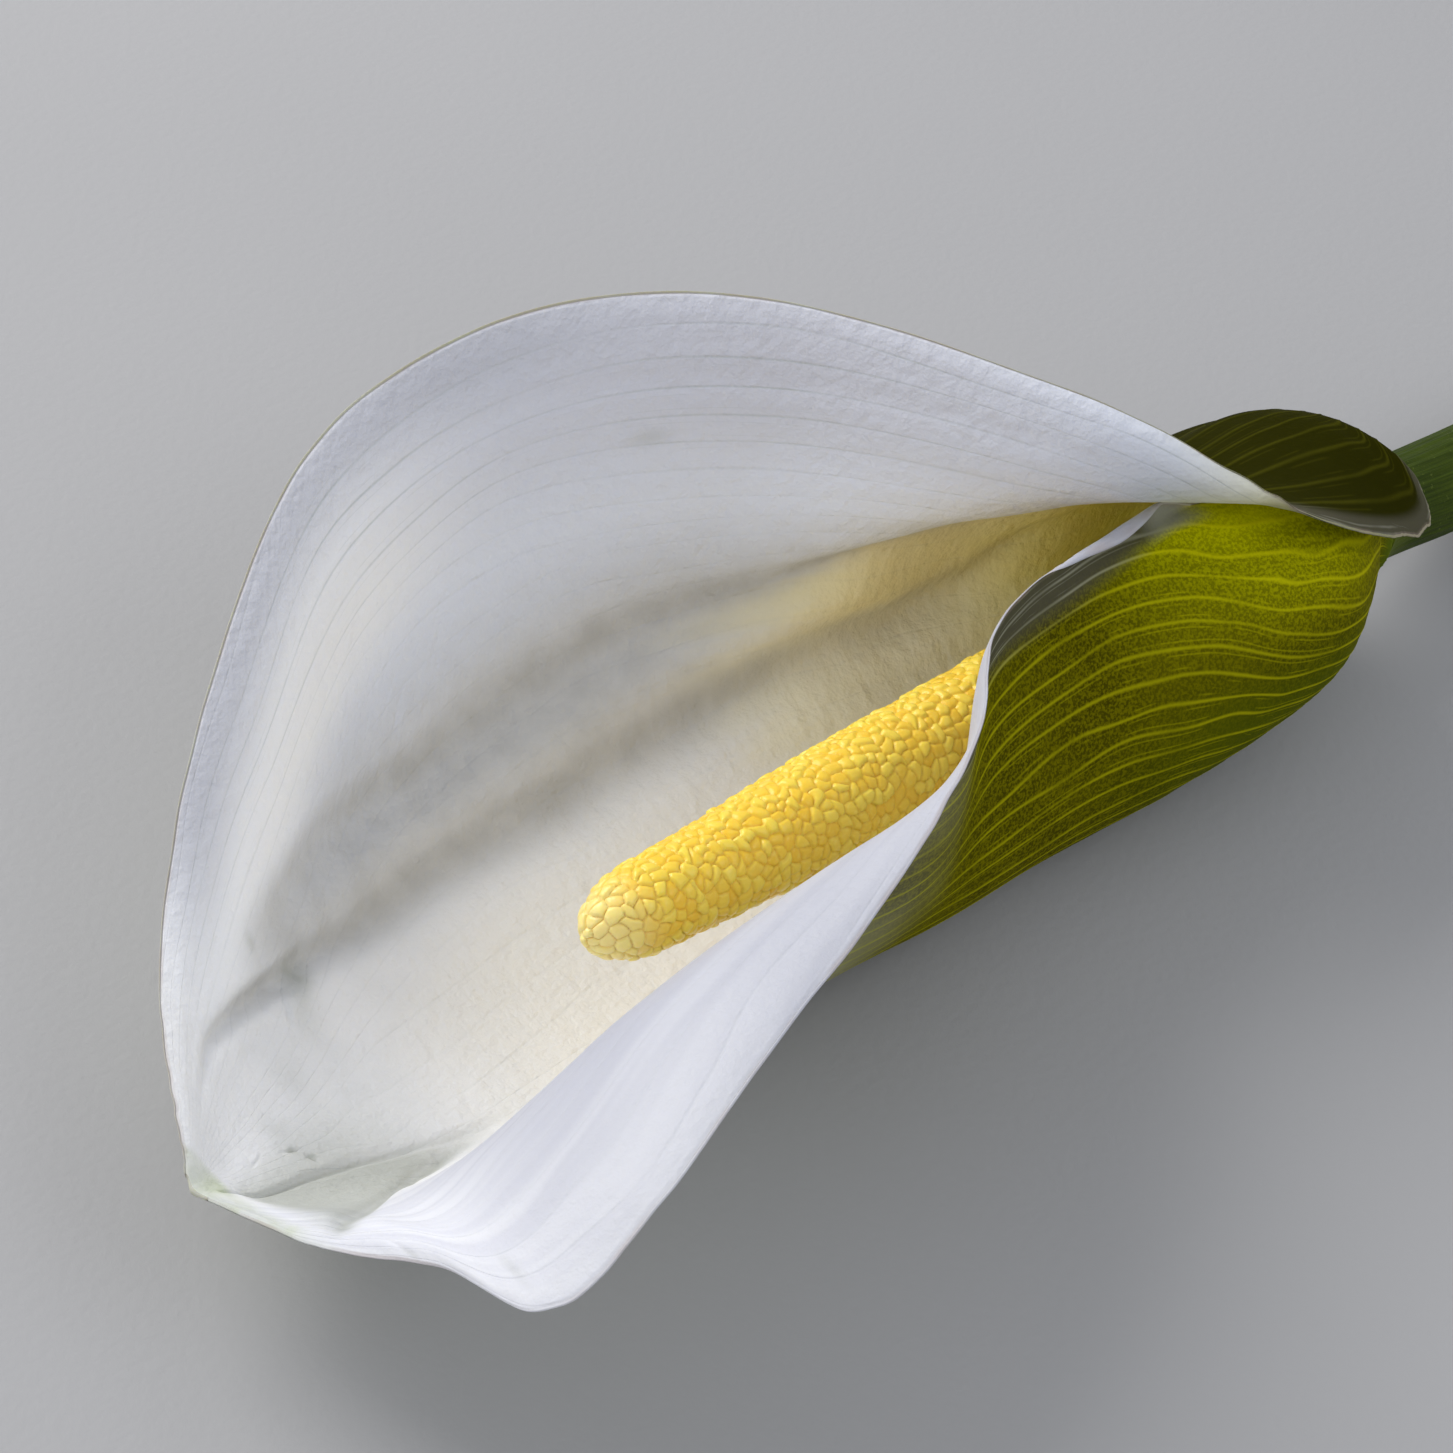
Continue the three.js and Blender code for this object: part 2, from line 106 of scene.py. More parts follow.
# Lines across the spathe, from the tube's closed end to the tip. Each has the midrib, then the
# near half and the far half as (sweep, (side l, h), margin, lip direction, pull).
STATIONS = [
    ((0, -2.5, -8.7),
     (6, (-10.5, -2.5), (0, -3.3, 2.9), (0, 1, 0), 6),
     (6.6, (6.3, -2.2), (0, -4.5, 4.8), (0, -1, 0), 6.8)),
    ((4.4, 0, -11),
     (9.4, (-12.4, -0.9), (3.5, -1, 8.3), (0, 1, 0), 7.5),
     (11, (15.5, 3), (1.5, -9, 9.5), (-0.2, -0.9, -0.4), 13)),
    ((9.8, 0, -14.6),
     (13, (-17.3, -1.4), (8, -1, 10.3), (0, 1, 0), 10.5),
     (14.5, (20.5, 7), (3.8, -14.4, 7), (-0.2, -0.8, -0.6), 22.5)),
    ((17, 0, -17),
     (16.2, (-22, -1), (17, -1, 11.4), (0, 1, 0), 14.6),
     (17, (24, 7), (12.5, -15, 9.5), (-0.1, -0.85, -0.5), 22)),
    ((29, 0, -18.5),
     (17.4, (-23, -0.6), (27, -1.5, 12.3), (0, 1, 0.1), 12),
     (19, (29, 8), (27.5, -12.5, 18), (-0.1, -1, 0.2), 10)),
    ((43, 1, -20.2),
     (17.8, (-24.6, 1.6), (36.5, 0.5, 13), (0, 0.8, 0.3), 7),
     (24, (42, 6), (36, -9, 24), (0, 0.5, 0.85), 8)),
    ((58, 2, -21.5),
     (16, (-22, -1), (50, -1.2, 16), (0, 0.2, 0.9), 9),
     (30, (44, 4), (46.5, 5, 30), (0, 0.93, 0.37), 21.5)),
    ((73, 3, -22.8),
     (15, (-21, -3), (68, -5.5, 18), (0, -0.1, 1), 12),
     (30, (56, -8), (57.5, 38.5, 26), (0, 0.85, 0.5), 22)),
    ((89, 4, -23.8),
     (10, (-19.4, -6.3), (80.5, -14.5, 17), (0, -0.22, 0.975), 12.3),
     (30, (59, -12), (75.4, 56.5, 19.4), (0, 0.75, 0.65), 20)),
    ((105, 4.5, -24.3),
     (9, (-15.5, -15), (98.5, -22, 16), (0, -1, 0.233), 17.4),
     (29, (50, -18), (98.8, 58.7, 11.2), (0, 0.85, 0.45), 19)),
    ((121, 4, -24),
     (8, (-13.3, -15.2), (121.5, -28.5, 14), (0, -1, 0.117), 26.5),
     (22, (36, -20), (123.6, 44, 1.7), (0.2, 0.85, 0.4), 15)),
    ((132, 5, -23),
     (7, (-9, -17), (140, -33, 9), (0.1, -1, 0.2), 28),
     (13, (24, -19.5), (138.3, 31.5, -6.6), (0.25, 0.85, 0.35), 9)),
    ((142, 6, -20),
     (5, (-5, -17), (150.2, -31.5, 2), (0.3, -1, 0.1), 22),
     (7, (16.5, -17.5), (146.9, 21.3, -10.4), (0.3, 0.85, 0.35), 5)),
    ((149.5, 6, -17),
     (3, (0, -16), (150.5, -19.5, -3.5), (0.15, -1, 0.1), 10.5),
     (3.5, (11.5, -15.5), (151.4, 14.2, -11.3), (0.35, 0.8, 0.35), 3)),
    ((152, 6.5, -15.3),
     (1, (3, -14.8), (153.5, -7.5, -9.5), (0.1, -1, 0.2), 4),
     (1.5, (9.2, -14), (153.5, 10.3, -12.3), (0.4, 0.8, 0.3), 1.5)),
    ((155.4, 6.5, -13.6),
     (0.4, (5.6, -13.5), (155.2, 4.8, -13.2), (0.2, -1, 0.1), 0.4),
     (0.4, (7.4, -13.5), (154.9, 8.2, -13.2), (0.2, 1, 0.1), 0.4)),
]


# ---- small tools -------------------------------------------------------------------------
NOISE_CELLS = 128


def to_frame(points):
    points = np.asarray(points, float)
    return (BASE + points[..., 0:1] * AX + points[..., 1:2] * LAT + points[..., 2:3] * TOP) * MM


def unit(vectors):
    vectors = np.asarray(vectors, float)
    return vectors / (np.linalg.norm(vectors, axis=-1, keepdims=True) + 1e-12)


def ease(x, low, high):
    """0 below low, 1 above high, smooth between; low may be the larger."""
    k = np.clip((x - low) / (high - low), 0, 1)
    return k * k * (3 - 2 * k)


def bell(x, centre, width):
    return np.exp(-((x - centre) / width) ** 2)


def window(x, rise, full, fade, end):
    """0 below rise, 1 between full and fade, 0 above end, smooth between."""
    return ease(x, rise, full) * ease(x, end, fade)


def soft_noise(x, y, seed):
    """Smooth noise from -1 to 1 with cells of size 1, repeating after NOISE_CELLS of them."""
    grid = np.random.default_rng(seed).uniform(-1, 1, (NOISE_CELLS, NOISE_CELLS))
    xi = np.floor(x).astype(int)
    yi = np.floor(y).astype(int)
    fx = ease(x - xi, 0, 1)
    fy = ease(y - yi, 0, 1)

    def corner(a, b):
        return grid[(xi + a) % NOISE_CELLS, (yi + b) % NOISE_CELLS]
    low = corner(0, 0) * (1 - fx) + corner(1, 0) * fx
    high = corner(0, 1) * (1 - fx) + corner(1, 1) * fx
    return low * (1 - fy) + high * fy


def mesh_object(name, points, faces, face_slots=None, materials=(), attributes=None):
    """A smooth-shaded mesh; attributes maps a name to one value or vector for each point."""
    mesh = bpy.data.meshes.new(name)
    mesh.from_pydata([tuple(p) for p in np.asarray(points).tolist()], [], faces)
    for material in materials:
        mesh.materials.append(material)
    if face_slots is not None:
        mesh.polygons.foreach_set("material_index", np.asarray(face_slots, np.int32))
    mesh.polygons.foreach_set("use_smooth", np.ones(len(mesh.polygons), bool))
    for key, values in (attributes or {}).items():
        values = np.asarray(values, np.float32)
        flat = values.ndim == 1
        layer = mesh.attributes.new(key, "FLOAT" if flat else "FLOAT_VECTOR", "POINT")
        layer.data.foreach_set("value" if flat else "vector", values.ravel())
    mesh.update()
    thing = bpy.data.objects.new(name, mesh)
    bpy.context.collection.objects.link(thing)
    return thing


# ---- the spathe's sheet ------------------------------------------------------------------
def run_between(points, s):
    """Smooth run through points at places s."""
    count = len(points)
    s = np.clip(s, 0, count - 1 - 1e-9)
    i = s.astype(int)
    f = (s - i)[..., None]

    def at(k):
        return points[np.clip(k, 0, count - 1)]
    b, c = at(i), at(i + 1)
    a = np.where((i == 0)[..., None], 2 * b - c, at(i - 1))
    d = np.where((i == count - 2)[..., None], 2 * c - b, at(i + 2))
    return 0.5 * (2 * b + (c - a) * f + (2 * a - 5 * b + 4 * c - d) * f ** 2
                  + (3 * b - a - 3 * c + d) * f ** 3)


def half_controls(station, side):
    mid = np.array(station[0], float)
    sweep, wall, edge, lip, pull = station[1 if side < 0 else 2]
    edge = np.array(edge, float)
    foot = mid + np.array([0, side * sweep, 0])
    wall = np.array([(mid[0] + edge[0]) / 2, wall[0], wall[1]])
    return np.stack([mid, foot, wall, edge - pull * unit(lip), edge])


def sheet_middle(u, v):
    """Middle of the sheet: u from -1, near margin, to 1, far margin; v from 0, base, to 1, tip."""
    u, v = np.broadcast_arrays(u, v)
    points = np.zeros(u.shape + (3,))
    for side in (-1, 1):
        picked = u < 0 if side < 0 else u >= 0
        controls = np.stack([half_controls(s, side) for s in STATIONS])
        s = v[picked] * (len(STATIONS) - 1)
        w = np.abs(u[picked])[:, None]
        weights = ((1 - w) ** 4, 4 * (1 - w) ** 3 * w, 6 * (1 - w) ** 2 * w ** 2,
                   4 * (1 - w) * w ** 3, w ** 4)
        points[picked] = sum(g * run_between(controls[:, k], s) for k, g in enumerate(weights))
    return points


def path_value(v, places):
    """Value read along v from (v, value) pairs."""
    return np.interp(v, [p[0] for p in places], [p[1] for p in places])


# Soft folds of the sheet as lines of (v, u), where their shaded sides run.
UPPER_FOLD = [(0.2, 0.56), (0.33, 0.538), (0.385, 0.508), (0.43, 0.438), (0.474, 0.425),
              (0.516, 0.393), (0.551, 0.39), (0.59, 0.407), (0.619, 0.458), (0.651, 0.54),
              (0.72, 0.66)]
LOWER_FOLD = [(0.2, 0.45), (0.283, 0.42), (0.316, 0.338), (0.357, 0.295), (0.404, 0.288),
              (0.441, 0.28), (0.487, 0.262), (0.535, 0.248), (0.583, 0.268), (0.628, 0.31),
              (0.647, 0.345), (0.701, 0.485), (0.739, 0.613), (0.776, 0.715)]
# the midrib's crease at the tip
KEEL = [(0.6, -0.06), (0.675, -0.057), (0.714, -0.027), (0.756, -0.012), (0.81, -0.052),
        (0.885, -0.147), (0.95, -0.2)]
# where the near wing rises out of the bowl, near the tip
WING_FOOT = [(0.64, -0.03), (0.654, -0.052), (0.701, -0.098), (0.739, -0.193), (0.76, -0.295),
             (0.789, -0.443), (0.83, -0.57), (0.876, -0.70), (0.905, -0.818), (0.929, -0.96)]
# Small grey spots and streaks, blemishes and painted shade in dents and along a crease: place (u, v),
# width in u, length in v, strength.
SPOTS = [
    (0.768, 0.495, 0.016, 0.005, 0.35), (0.05, 0.786, 0.012, 0.003, 0.9),
    (0.103, 0.794, 0.02, 0.003, 0.5), (0.653, 0.711, 0.03, 0.003, 0.4),
    (0.43, 0.686, 0.04, 0.002, 0.35), (-0.968, 0.879, 0.03, 0.003, 0.4),
    (-0.932, 0.801, 0.03, 0.004, 0.3), (0.395, 0.688, 0.04, 0.012, 0.6),
    (0.36, 0.705, 0.07, 0.012, 0.25), (0.30, 0.745, 0.08, 0.014, 0.22),
    (0.22, 0.79, 0.09, 0.012, 0.22),
]
# Small dents and creases: place (u, v), width in u, length in v, turn, depth in mm.
MARKS = [
    (0.47, 0.705, 0.05, 0.012, 0.4, 0.45), (0.41, 0.712, 0.03, 0.01, -0.5, 0.35),
    (0.05, 0.786, 0.03, 0.006, 0.2, 0.5), (0.103, 0.794, 0.03, 0.008, 1.2, 0.3),
    (-0.968, 0.879, 0.06, 0.01, 0.3, 0.2), (0.14, 0.83, 0.03, 0.01, -0.9, 0.2),
]


def fold_lines(u, v):
    """The two soft folds, and the crest between them, each from 0 to 1."""
    upper_u = path_value(v, UPPER_FOLD)
    lower_u = path_value(v, LOWER_FOLD)
    upper = bell(u, upper_u, 0.06) * window(v, 0.26, 0.4, 0.6, 0.72)
    lower = bell(u, lower_u, 0.045) * window(v, 0.24, 0.34, 0.7, 0.84)
    crest = bell(u, 0.5 * (upper_u + lower_u), 0.04) * window(v, 0.26, 0.4, 0.56, 0.66)
    return upper, lower, crest


def creases(u, v):
    """The midrib's crease at the tip, and the line at the near wing's foot."""
    keel = bell(u, path_value(v, KEEL), 0.028) * window(v, 0.62, 0.78, 0.93, 0.965)
    foot = bell(u, path_value(v, WING_FOOT), 0.045) * window(v, 0.66, 0.72, 0.88, 0.93)
    return keel, foot


def shades(u, v):
    """Painted shade of the inside: in the hollows of the folds, on the near wing's back, and in creases,
    with the grey spots.
    """
    upper, lower, _ = fold_lines(u, v)
    above = u - path_value(v, UPPER_FOLD)
    below = u - path_value(v, LOWER_FOLD)
    flank = window(above, -0.12, 0.0, 0.0, 0.24) * window(v, 0.3, 0.42, 0.6, 0.68)
    between = ease(below, -0.05, 0.03) * ease(above, 0.12, 0.0) * window(v, 0.33, 0.5, 0.68, 0.74)
    hollow_shade = np.maximum.reduce([upper, lower, 0.6 * flank, 0.76 * between])

    wing_edge = window(u, -0.97, -0.72, -0.66, -0.5) * ease(v, 0.8, 0.66)
    wing = np.maximum(wing_edge, 0.55 * ease(u, -0.4, -0.7) * ease(v, 0.74, 0.62))

    keel, foot = creases(u, v)
    off_keel = u - path_value(v, KEEL)
    off_foot = u - path_value(v, WING_FOOT)
    above_keel = window(off_keel, -0.02, 0.03, 0.04, 0.3) * ease(v, 0.66, 0.8)
    beside_foot = window(off_foot, -0.02, 0.04, 0.05, 0.5) * ease(v, 0.68, 0.76)
    soft = np.maximum(above_keel, beside_foot) * ease(v, 0.94, 0.88)
    gully = ease(off_foot, -0.02, 0.04) * ease(off_keel, 0.02, -0.03) * window(v, 0.66, 0.74, 0.86, 0.93)
    crease = np.maximum.reduce([0.95 * keel, 0.95 * foot, 0.7 * soft, 0.95 * gully])
    spots = sum(bell(u, at_u, wide) * bell(v, at_v, long) * strong
                for at_u, at_v, wide, long, strong in SPOTS)
    return hollow_shade, wing, np.clip(crease + spots, 0, 1)


def folds(u, v):
    """Height of the sheet's folds and pleats, in mm."""
    upper, lower, crest = fold_lines(u + 0.02, v)
    keel, foot = creases(u, v)
    depth = 1.9 * upper + 2.0 * lower - 0.5 * crest + 0.7 * keel + 0.7 * foot
    # closely spaced pleats in the throat
    pleats = np.cos(2 * np.pi * (u * 9 + 0.5 * soft_noise(u * 3, v * 6, 11)))
    depth += 0.3 * pleats * window(v, 0.1, 0.2, 0.34, 0.46) * window(u, 0.02, 0.2, 0.58, 0.72)
    # long faint pleats of the near wing and of the wide side
    streaks = soft_noise(u * 16, v * 2.5, 12) + 0.5 * soft_noise(u * 31, v * 4, 13)
    tip_calm = 1 - 0.7 * ease(v, 0.7, 0.84) * ease(u, 0.0, 0.3)
    open_part = window(v, 0.3, 0.45, 0.88, 0.97) * ease(np.abs(u), 0.15, 0.4)
    depth += 0.10 * streaks * open_part * tip_calm
    return -depth


def marks(u, v):
    """Height of the small dents and creases of a bloom that has been handled, in mm."""
    height = np.zeros_like(u)
    for at_u, at_v, wide, long, turn, deep in MARKS:
        a = (u - at_u) / wide
        b = (v - at_v) / long
        c = math.cos(turn) * a + math.sin(turn) * b
        d = -math.sin(turn) * a + math.cos(turn) * b
        height -= deep * np.exp(-c * c - (d * 4.0) ** 2)
    return height


def vein_coordinate(u, v, t):
    """Counts the main veins across the sheet; a vein runs where it is a whole number."""
    wander = 0.5 * soft_noise(u * 6, v * 7, 21) + 0.2 * soft_noise(u * 18, v * 26, 22)
    drift = 0.21 * np.sin(np.pi * np.clip(-u, 0, 1)) * ease(t, 58, 4)
    return (u - drift) * 20 + wander


def curl_margin(middle, normal, across, margin, u, v):
    """Rolls the near margin outwards above the throat, so that its white inside shows there."""
    radius = CURL_RADIUS * window(v, 0.28, 0.345, 0.36, 0.43) * (u < 0) + 1e-6
    angle = CURL_ANGLE * np.clip(1 - margin / radius, 0, 1)
    sine, cosine = np.sin(angle)[..., None], np.cos(angle)[..., None]
    out = (-across * sine - normal * (1 - cosine)) * radius[..., None]
    straight = -across * np.clip(radius - margin, 0, None)[..., None]
    curled = middle - straight + out
    turned_normal = normal * cosine - across * sine
    picked = (margin < radius)[..., None]
    return np.where(picked, curled, middle), np.where(picked, unit(turned_normal), normal)


def rough_margin(middle, normal, across, margin, u, v):
    """The margin wavers a little, and is ragged on the far lobe behind the tube."""
    side = np.sign(u)
    rim_calm = window(v, 0.03, 0.1, 0.93, 1.0)
    waver = 0.14 * soft_noise(v * 30, side * 3 + 9, 31) + 0.05 * soft_noise(v * 90, side * 5 + 9, 32)
    middle = middle + normal * (waver * ease(margin, 7, 0) * rim_calm)[..., None]
    lobe = ease(u, 0, 0.2) * window(v, 0.05, 0.1, 0.2, 0.27)
    ragged = 0.10 * soft_noise(v * 90, v * 0 + 3, 33) + 0.08 * soft_noise(v * 400, v * 0 + 7, 34)
    outline = 0.16 * soft_noise(v * 60, side * 7 + 9, 35) * rim_calm + ragged * lobe
    return middle + across * (side * outline * ease(margin, 2.2, 0))[..., None]


def ring_faces(rings, around):
    """Faces between closed rings of points that follow one another."""
    index = np.arange(rings * around).reshape(rings, around)
    beside = np.roll(index, -1, axis=1)
    faces = np.stack([index[:-1], beside[:-1], beside[1:], index[1:]], axis=-1).reshape(-1, 4)
    return [tuple(f) for f in faces.tolist()]


def sheet_faces(rows, columns, count):
    """Faces and material slots of the closed sheet; each row of points runs round it once."""
    ring_slot = np.zeros(count, int)
    ring_slot[columns:2 * columns] = 1
    caps = []
    for row, flip in ((0, False), (rows - 1, True)):
        ring = range(row * count, (row + 1) * count)
        cap = [(ring[j], ring[2 * columns - j], ring[2 * columns - j - 1], ring[j + 1])
               for j in range(columns - 1)]
        cap.append((ring[columns - 1], ring[columns + 1], ring[columns]))
        cap.append((ring[0], ring[count - 1], ring[2 * columns]))
        caps += [face[::-1] if flip else face for face in cap]
    slots = np.concatenate([np.tile(ring_slot, rows - 1), np.ones(len(caps), int)])
    return ring_faces(rows, count) + caps, slots


def make_spathe(materials):
    columns, rows = SHEET_COLUMNS, SHEET_ROWS
    x = np.linspace(-1, 1, columns)
    u = np.sign(x) * (1 - (1 - np.abs(x)) ** COLUMN_CROWDING)
    u, v = np.meshgrid(u, np.linspace(0, 1, rows))
    middle = sheet_middle(u, v)
    t = middle[..., 0]
    step = SLOPE_STEP
    across = unit(sheet_middle(np.minimum(u + step, 1), v) - sheet_middle(np.maximum(u - step, -1), v))
    along = unit(sheet_middle(u, np.minimum(v + step, 1)) - sheet_middle(u, np.maximum(v - step, 0)))
    normal = -unit(np.cross(across, along))
    blend = ease(v, 0.82, 0.94)[..., None]
    normal = unit(normal * (1 - blend) + unit([-0.5, 0, 0.85]) * blend)

    # lengths along the surface: from the near margin, to the closer margin, and from the base
    steps_across = np.linalg.norm(np.diff(middle, axis=1), axis=-1)
    reach = np.concatenate([np.zeros((rows, 1)), np.cumsum(steps_across, axis=1)], axis=1)
    margin = np.minimum(reach, reach[:, -1:] - reach)
    steps_along = np.linalg.norm(np.diff(middle, axis=0), axis=-1)
    travel = np.concatenate([np.zeros((1, columns)), np.cumsum(steps_along, axis=0)], axis=0)

    middle = rough_margin(middle, normal, across, margin, u, v)
    middle = middle + normal * ((folds(u, v) + marks(u, v)) * ease(margin, 0, 4))[..., None]
    middle, normal = curl_margin(middle, normal, across, margin, u, v)
    veins = vein_coordinate(u, v, t)
    ridge = ease(np.abs(veins - np.round(veins)), 0.16, 0) * ease(v, 0.86, 0.68) * ease(margin, 1, 5)
    half = 0.5 * (EDGE_THICK + (SHEET_THICK - EDGE_THICK) * ease(margin, 0.5, 14) * ease(v, 1.0, 0.8))
    half = half * (0.5 + 0.5 * ease(margin, 0, 2.5))
    inner = middle + normal * (half - 0.02 * ridge)[..., None]
    outer = middle - normal * (half + 0.07 * ridge)[..., None]
    near_rim = middle[:, :1] + unit(middle[:, :1] - middle[:, 1:2]) * 0.25 * EDGE_THICK
    far_rim = middle[:, -1:] + unit(middle[:, -1:] - middle[:, -2:-1]) * 0.25 * EDGE_THICK

    loop = np.concatenate([inner, far_rim, outer[:, ::-1], near_rim], axis=1)
    points = to_frame(loop)
    count = loop.shape[1]
    floor = np.zeros(count)
    floor[:columns] = 0.8 * SHEET_THICK * MM
    points[..., 2] = np.maximum(points[..., 2], floor)
    faces, slots = sheet_faces(rows, columns, count)

    def point_values(*three):
        """Three values for each point of the loop, from their values on the sheet's middle."""
        rounds = [np.concatenate([a, a[:, -1:], a[:, ::-1], a[:, :1]], axis=1) for a in three]
        return np.stack(rounds, axis=-1).reshape(-1, 3)

    depth_in_tube = ease(t, 78, 8)
    under_fold = u - path_value(v, UPPER_FOLD)
    throat = ease(t, 84, 44) * ease(under_fold, 0.06, -0.06) * ease(u, -0.55, 0)
    green_rib = bell(u, 0, 0.16) * ease(v, 0.55, 0.75)
    attributes = {
        "sheet": point_values(veins, travel, margin),
        "zone": point_values(depth_in_tube, throat, green_rib),
        "place": point_values(u, v, t * LOOK_UNIT),
        "shade": point_values(*shades(u, v)),
    }
    return mesh_object("spathe_sheet", points.reshape(-1, 3), faces, slots, materials, attributes)


def tube_faces(rings, around):
    """Faces of a closed tube; its two end points come after the rings' points."""
    low = rings * around
    last_ring = low - around
    neighbours = [(j, (j + 1) % around) for j in range(around)]
    low_cap = [(low, b, a) for a, b in neighbours]
    high_cap = [(low + 1, last_ring + a, last_ring + b) for a, b in neighbours]
    return ring_faces(rings, around) + low_cap + high_cap


# ---- the spadix --------------------------------------------------------------------------
def spadix_centre(t):
    sag = np.sin(np.pi * t / SPADIX_END)
    neck = ease(t, NECK_FADE, 0)
    side = NECK_SIDE * neck - SPADIX_SAG * sag
    return np.stack([t, side, -NECK_DROP * neck - SPADIX_DROP - SPADIX_SAG * sag], axis=-1)


def male_radius(t):
    taper = ease(t, 0.65 * SPADIX_END, SPADIX_END)
    body = SPADIX_RADIUS + (SPADIX_TIP_RADIUS - SPADIX_RADIUS) * taper
    k = np.clip((t - (SPADIX_END - SPADIX_CAP)) / SPADIX_CAP, 0, 1)
    return body * np.sqrt(np.clip(1 - k ** 2.1, 0, 1))


def female_radius(t):
    return FEMALE_RADIUS * np.sqrt(np.clip((t - CORE_LENGTH) / 1.2, 0, 1))


def profile(radius_at, start, end, steps):
    """Places t and radius at even steps along the outline, with the length run there."""
    t = start + (end - start) * (1 - (1 - np.linspace(0, 1, 4000)) ** 2)
    r = radius_at(t)
    s = np.concatenate([[0], np.cumsum(np.hypot(np.diff(t), np.diff(r)))])
    even = np.linspace(0, s[-1], steps)
    return np.interp(even, s, t), np.interp(even, s, r), even


def floret_seeds(radius_at, start, end, size, seed):
    """Middles of the florets, with a frame, a stretch and a random number for each."""
    rng = np.random.default_rng(seed)
    t, r, s = profile(radius_at, start, end, 2000)
    rows = int(s[-1] / size)
    seeds = []
    for k in range(rows + 1):
        at = (k + 0.5) * s[-1] / (rows + 1)
        around = max(1, int(round(2 * math.pi * np.interp(at, s, r) / (size * 1.02))))
        phase = rng.uniform(0, 1)
        for j in range(around):
            place = at + rng.uniform(-0.36, 0.36) * size
            angle = 2 * math.pi * (j + phase + rng.uniform(-0.3, 0.3)) / around
            seeds.append((np.clip(place, 0, s[-1]), angle, rng.uniform(0.5, 2.2),
                          rng.uniform(0, math.pi), rng.uniform(0, 1)))
    place, angle, stretch, turn, chance = np.array(seeds).T
    radius = np.interp(place, s, r)
    lean = np.interp(place, s, np.gradient(r, s))
    cosine, sine, zero = np.cos(angle), np.sin(angle), 0 * angle
    outward = np.stack([zero, -radius * cosine, radius * sine], axis=-1)
    position = spadix_centre(np.interp(place, s, t)) + outward
    forward = np.sqrt(np.clip(1 - lean ** 2, 0, 1))
    down = np.stack([forward, -lean * cosine, lean * sine], axis=-1)
    side = np.stack([zero, sine, cosine], axis=-1)
    return place, position, down, side, stretch, turn, chance


def make_spadix(name, radius_at, start, end, size, height, around, seed, relief, material):
    """One zone of the spadix; size is a floret's width, height its relief, in mm."""
    steps = int((end - start) / FLORET_STEP)
    t, r, s = profile(radius_at, start, end, steps)
    place, position, down, side, stretch, turn, chance = floret_seeds(radius_at, start, end, size, seed)
    angle = 2 * np.pi * np.arange(around) / around
    radial = np.stack([0 * angle, -np.cos(angle), np.sin(angle)], axis=-1)
    lean = np.gradient(r, s)
    rings, grooves, chances = [], [], []
    for i in range(steps):
        points = spadix_centre(t[i]) + r[i] * radial
        near = np.abs(place - s[i]) < 2.6 * size
        offset = points[:, None] - position[near][None]
        a = (offset * down[near]).sum(-1)
        b = (offset * side[near]).sum(-1)
        off_plane = (offset ** 2).sum(-1) - a ** 2 - b ** 2
        cosine, sine = np.cos(turn[near]), np.sin(turn[near])
        squared = (a * cosine + b * sine) ** 2 * stretch[near] + np.clip(off_plane, 0, None)
        squared = squared + (b * cosine - a * sine) ** 2 / stretch[near]
        order = np.argsort(squared, axis=1)[:, :2]
        first, second = np.sqrt(np.take_along_axis(squared, order, 1)).T
        luck = chance[near][order[:, 0]]
        lift, groove = relief(first, second - first, luck, size)
        tilt = np.clip(lean[i], -1, 1)
        outward = unit(radial * math.sqrt(max(0.0, 1 - tilt ** 2)) + np.array([-tilt, 0, 0]))
        rings.append(points + outward * (height * lift)[:, None])
        grooves.append(groove)
        chances.append(luck)
    points = np.concatenate(rings + [[rings[0].mean(0)], [rings[-1].mean(0)]])
    groove = np.concatenate(grooves + [[1.0, 1.0]])
    luck = np.concatenate(chances + [[0.5, 0.5]])
    run = np.concatenate([np.repeat(t, around), [t[0], t[-1]]]) * LOOK_UNIT
    attributes = {"floret": np.stack([groove, luck, run], axis=-1)}
    return mesh_object(name, to_frame(points), tube_faces(steps, around), None, [material], attributes)


def male_relief(first, gap, luck, size):
    """Crowded, unevenly raised pads with rounded shoulders and narrow seams."""
    seam = 1 - np.exp(-np.clip(gap, 0, None) / (0.09 * size))
    crown = np.clip(1 - (first / (0.9 * size)) ** 2, 0, 1)
    return seam * (0.55 + 0.45 * crown) * (0.5 + 0.45 * luck), seam


def female_relief(first, gap, luck, size):
    """Round-topped ovaries, each with a small stigma."""
    dome = np.sqrt(np.clip(1 - (first / (0.62 * size)) ** 2, 0, 1))
    stigma = 0.3 * np.clip(1 - first / (0.16 * size), 0, 1) ** 0.5
    pad = 1 - np.exp(-np.clip(gap, 0, None) / (0.2 * size))
    return dome * (0.85 + 0.15 * luck) * (0.4 + 0.6 * pad) + stigma, pad


# ---- the stem ----------------------------------------------------------------------------
def stem_height(x):
    rest = STEM_END_RADIUS - 0.2
    slope = -math.tan(STEM_SLOPE)
    s = np.minimum(x / STEM_DROP_LENGTH, 1)
    start = (2 * s ** 3 - 3 * s ** 2 + 1) * (TUBE_BASE_HEIGHT - NECK_DROP)
    lean = (s ** 3 - 2 * s ** 2 + s) * slope * STEM_DROP_LENGTH
    return start + lean + (3 * s ** 2 - 2 * s ** 3) * rest


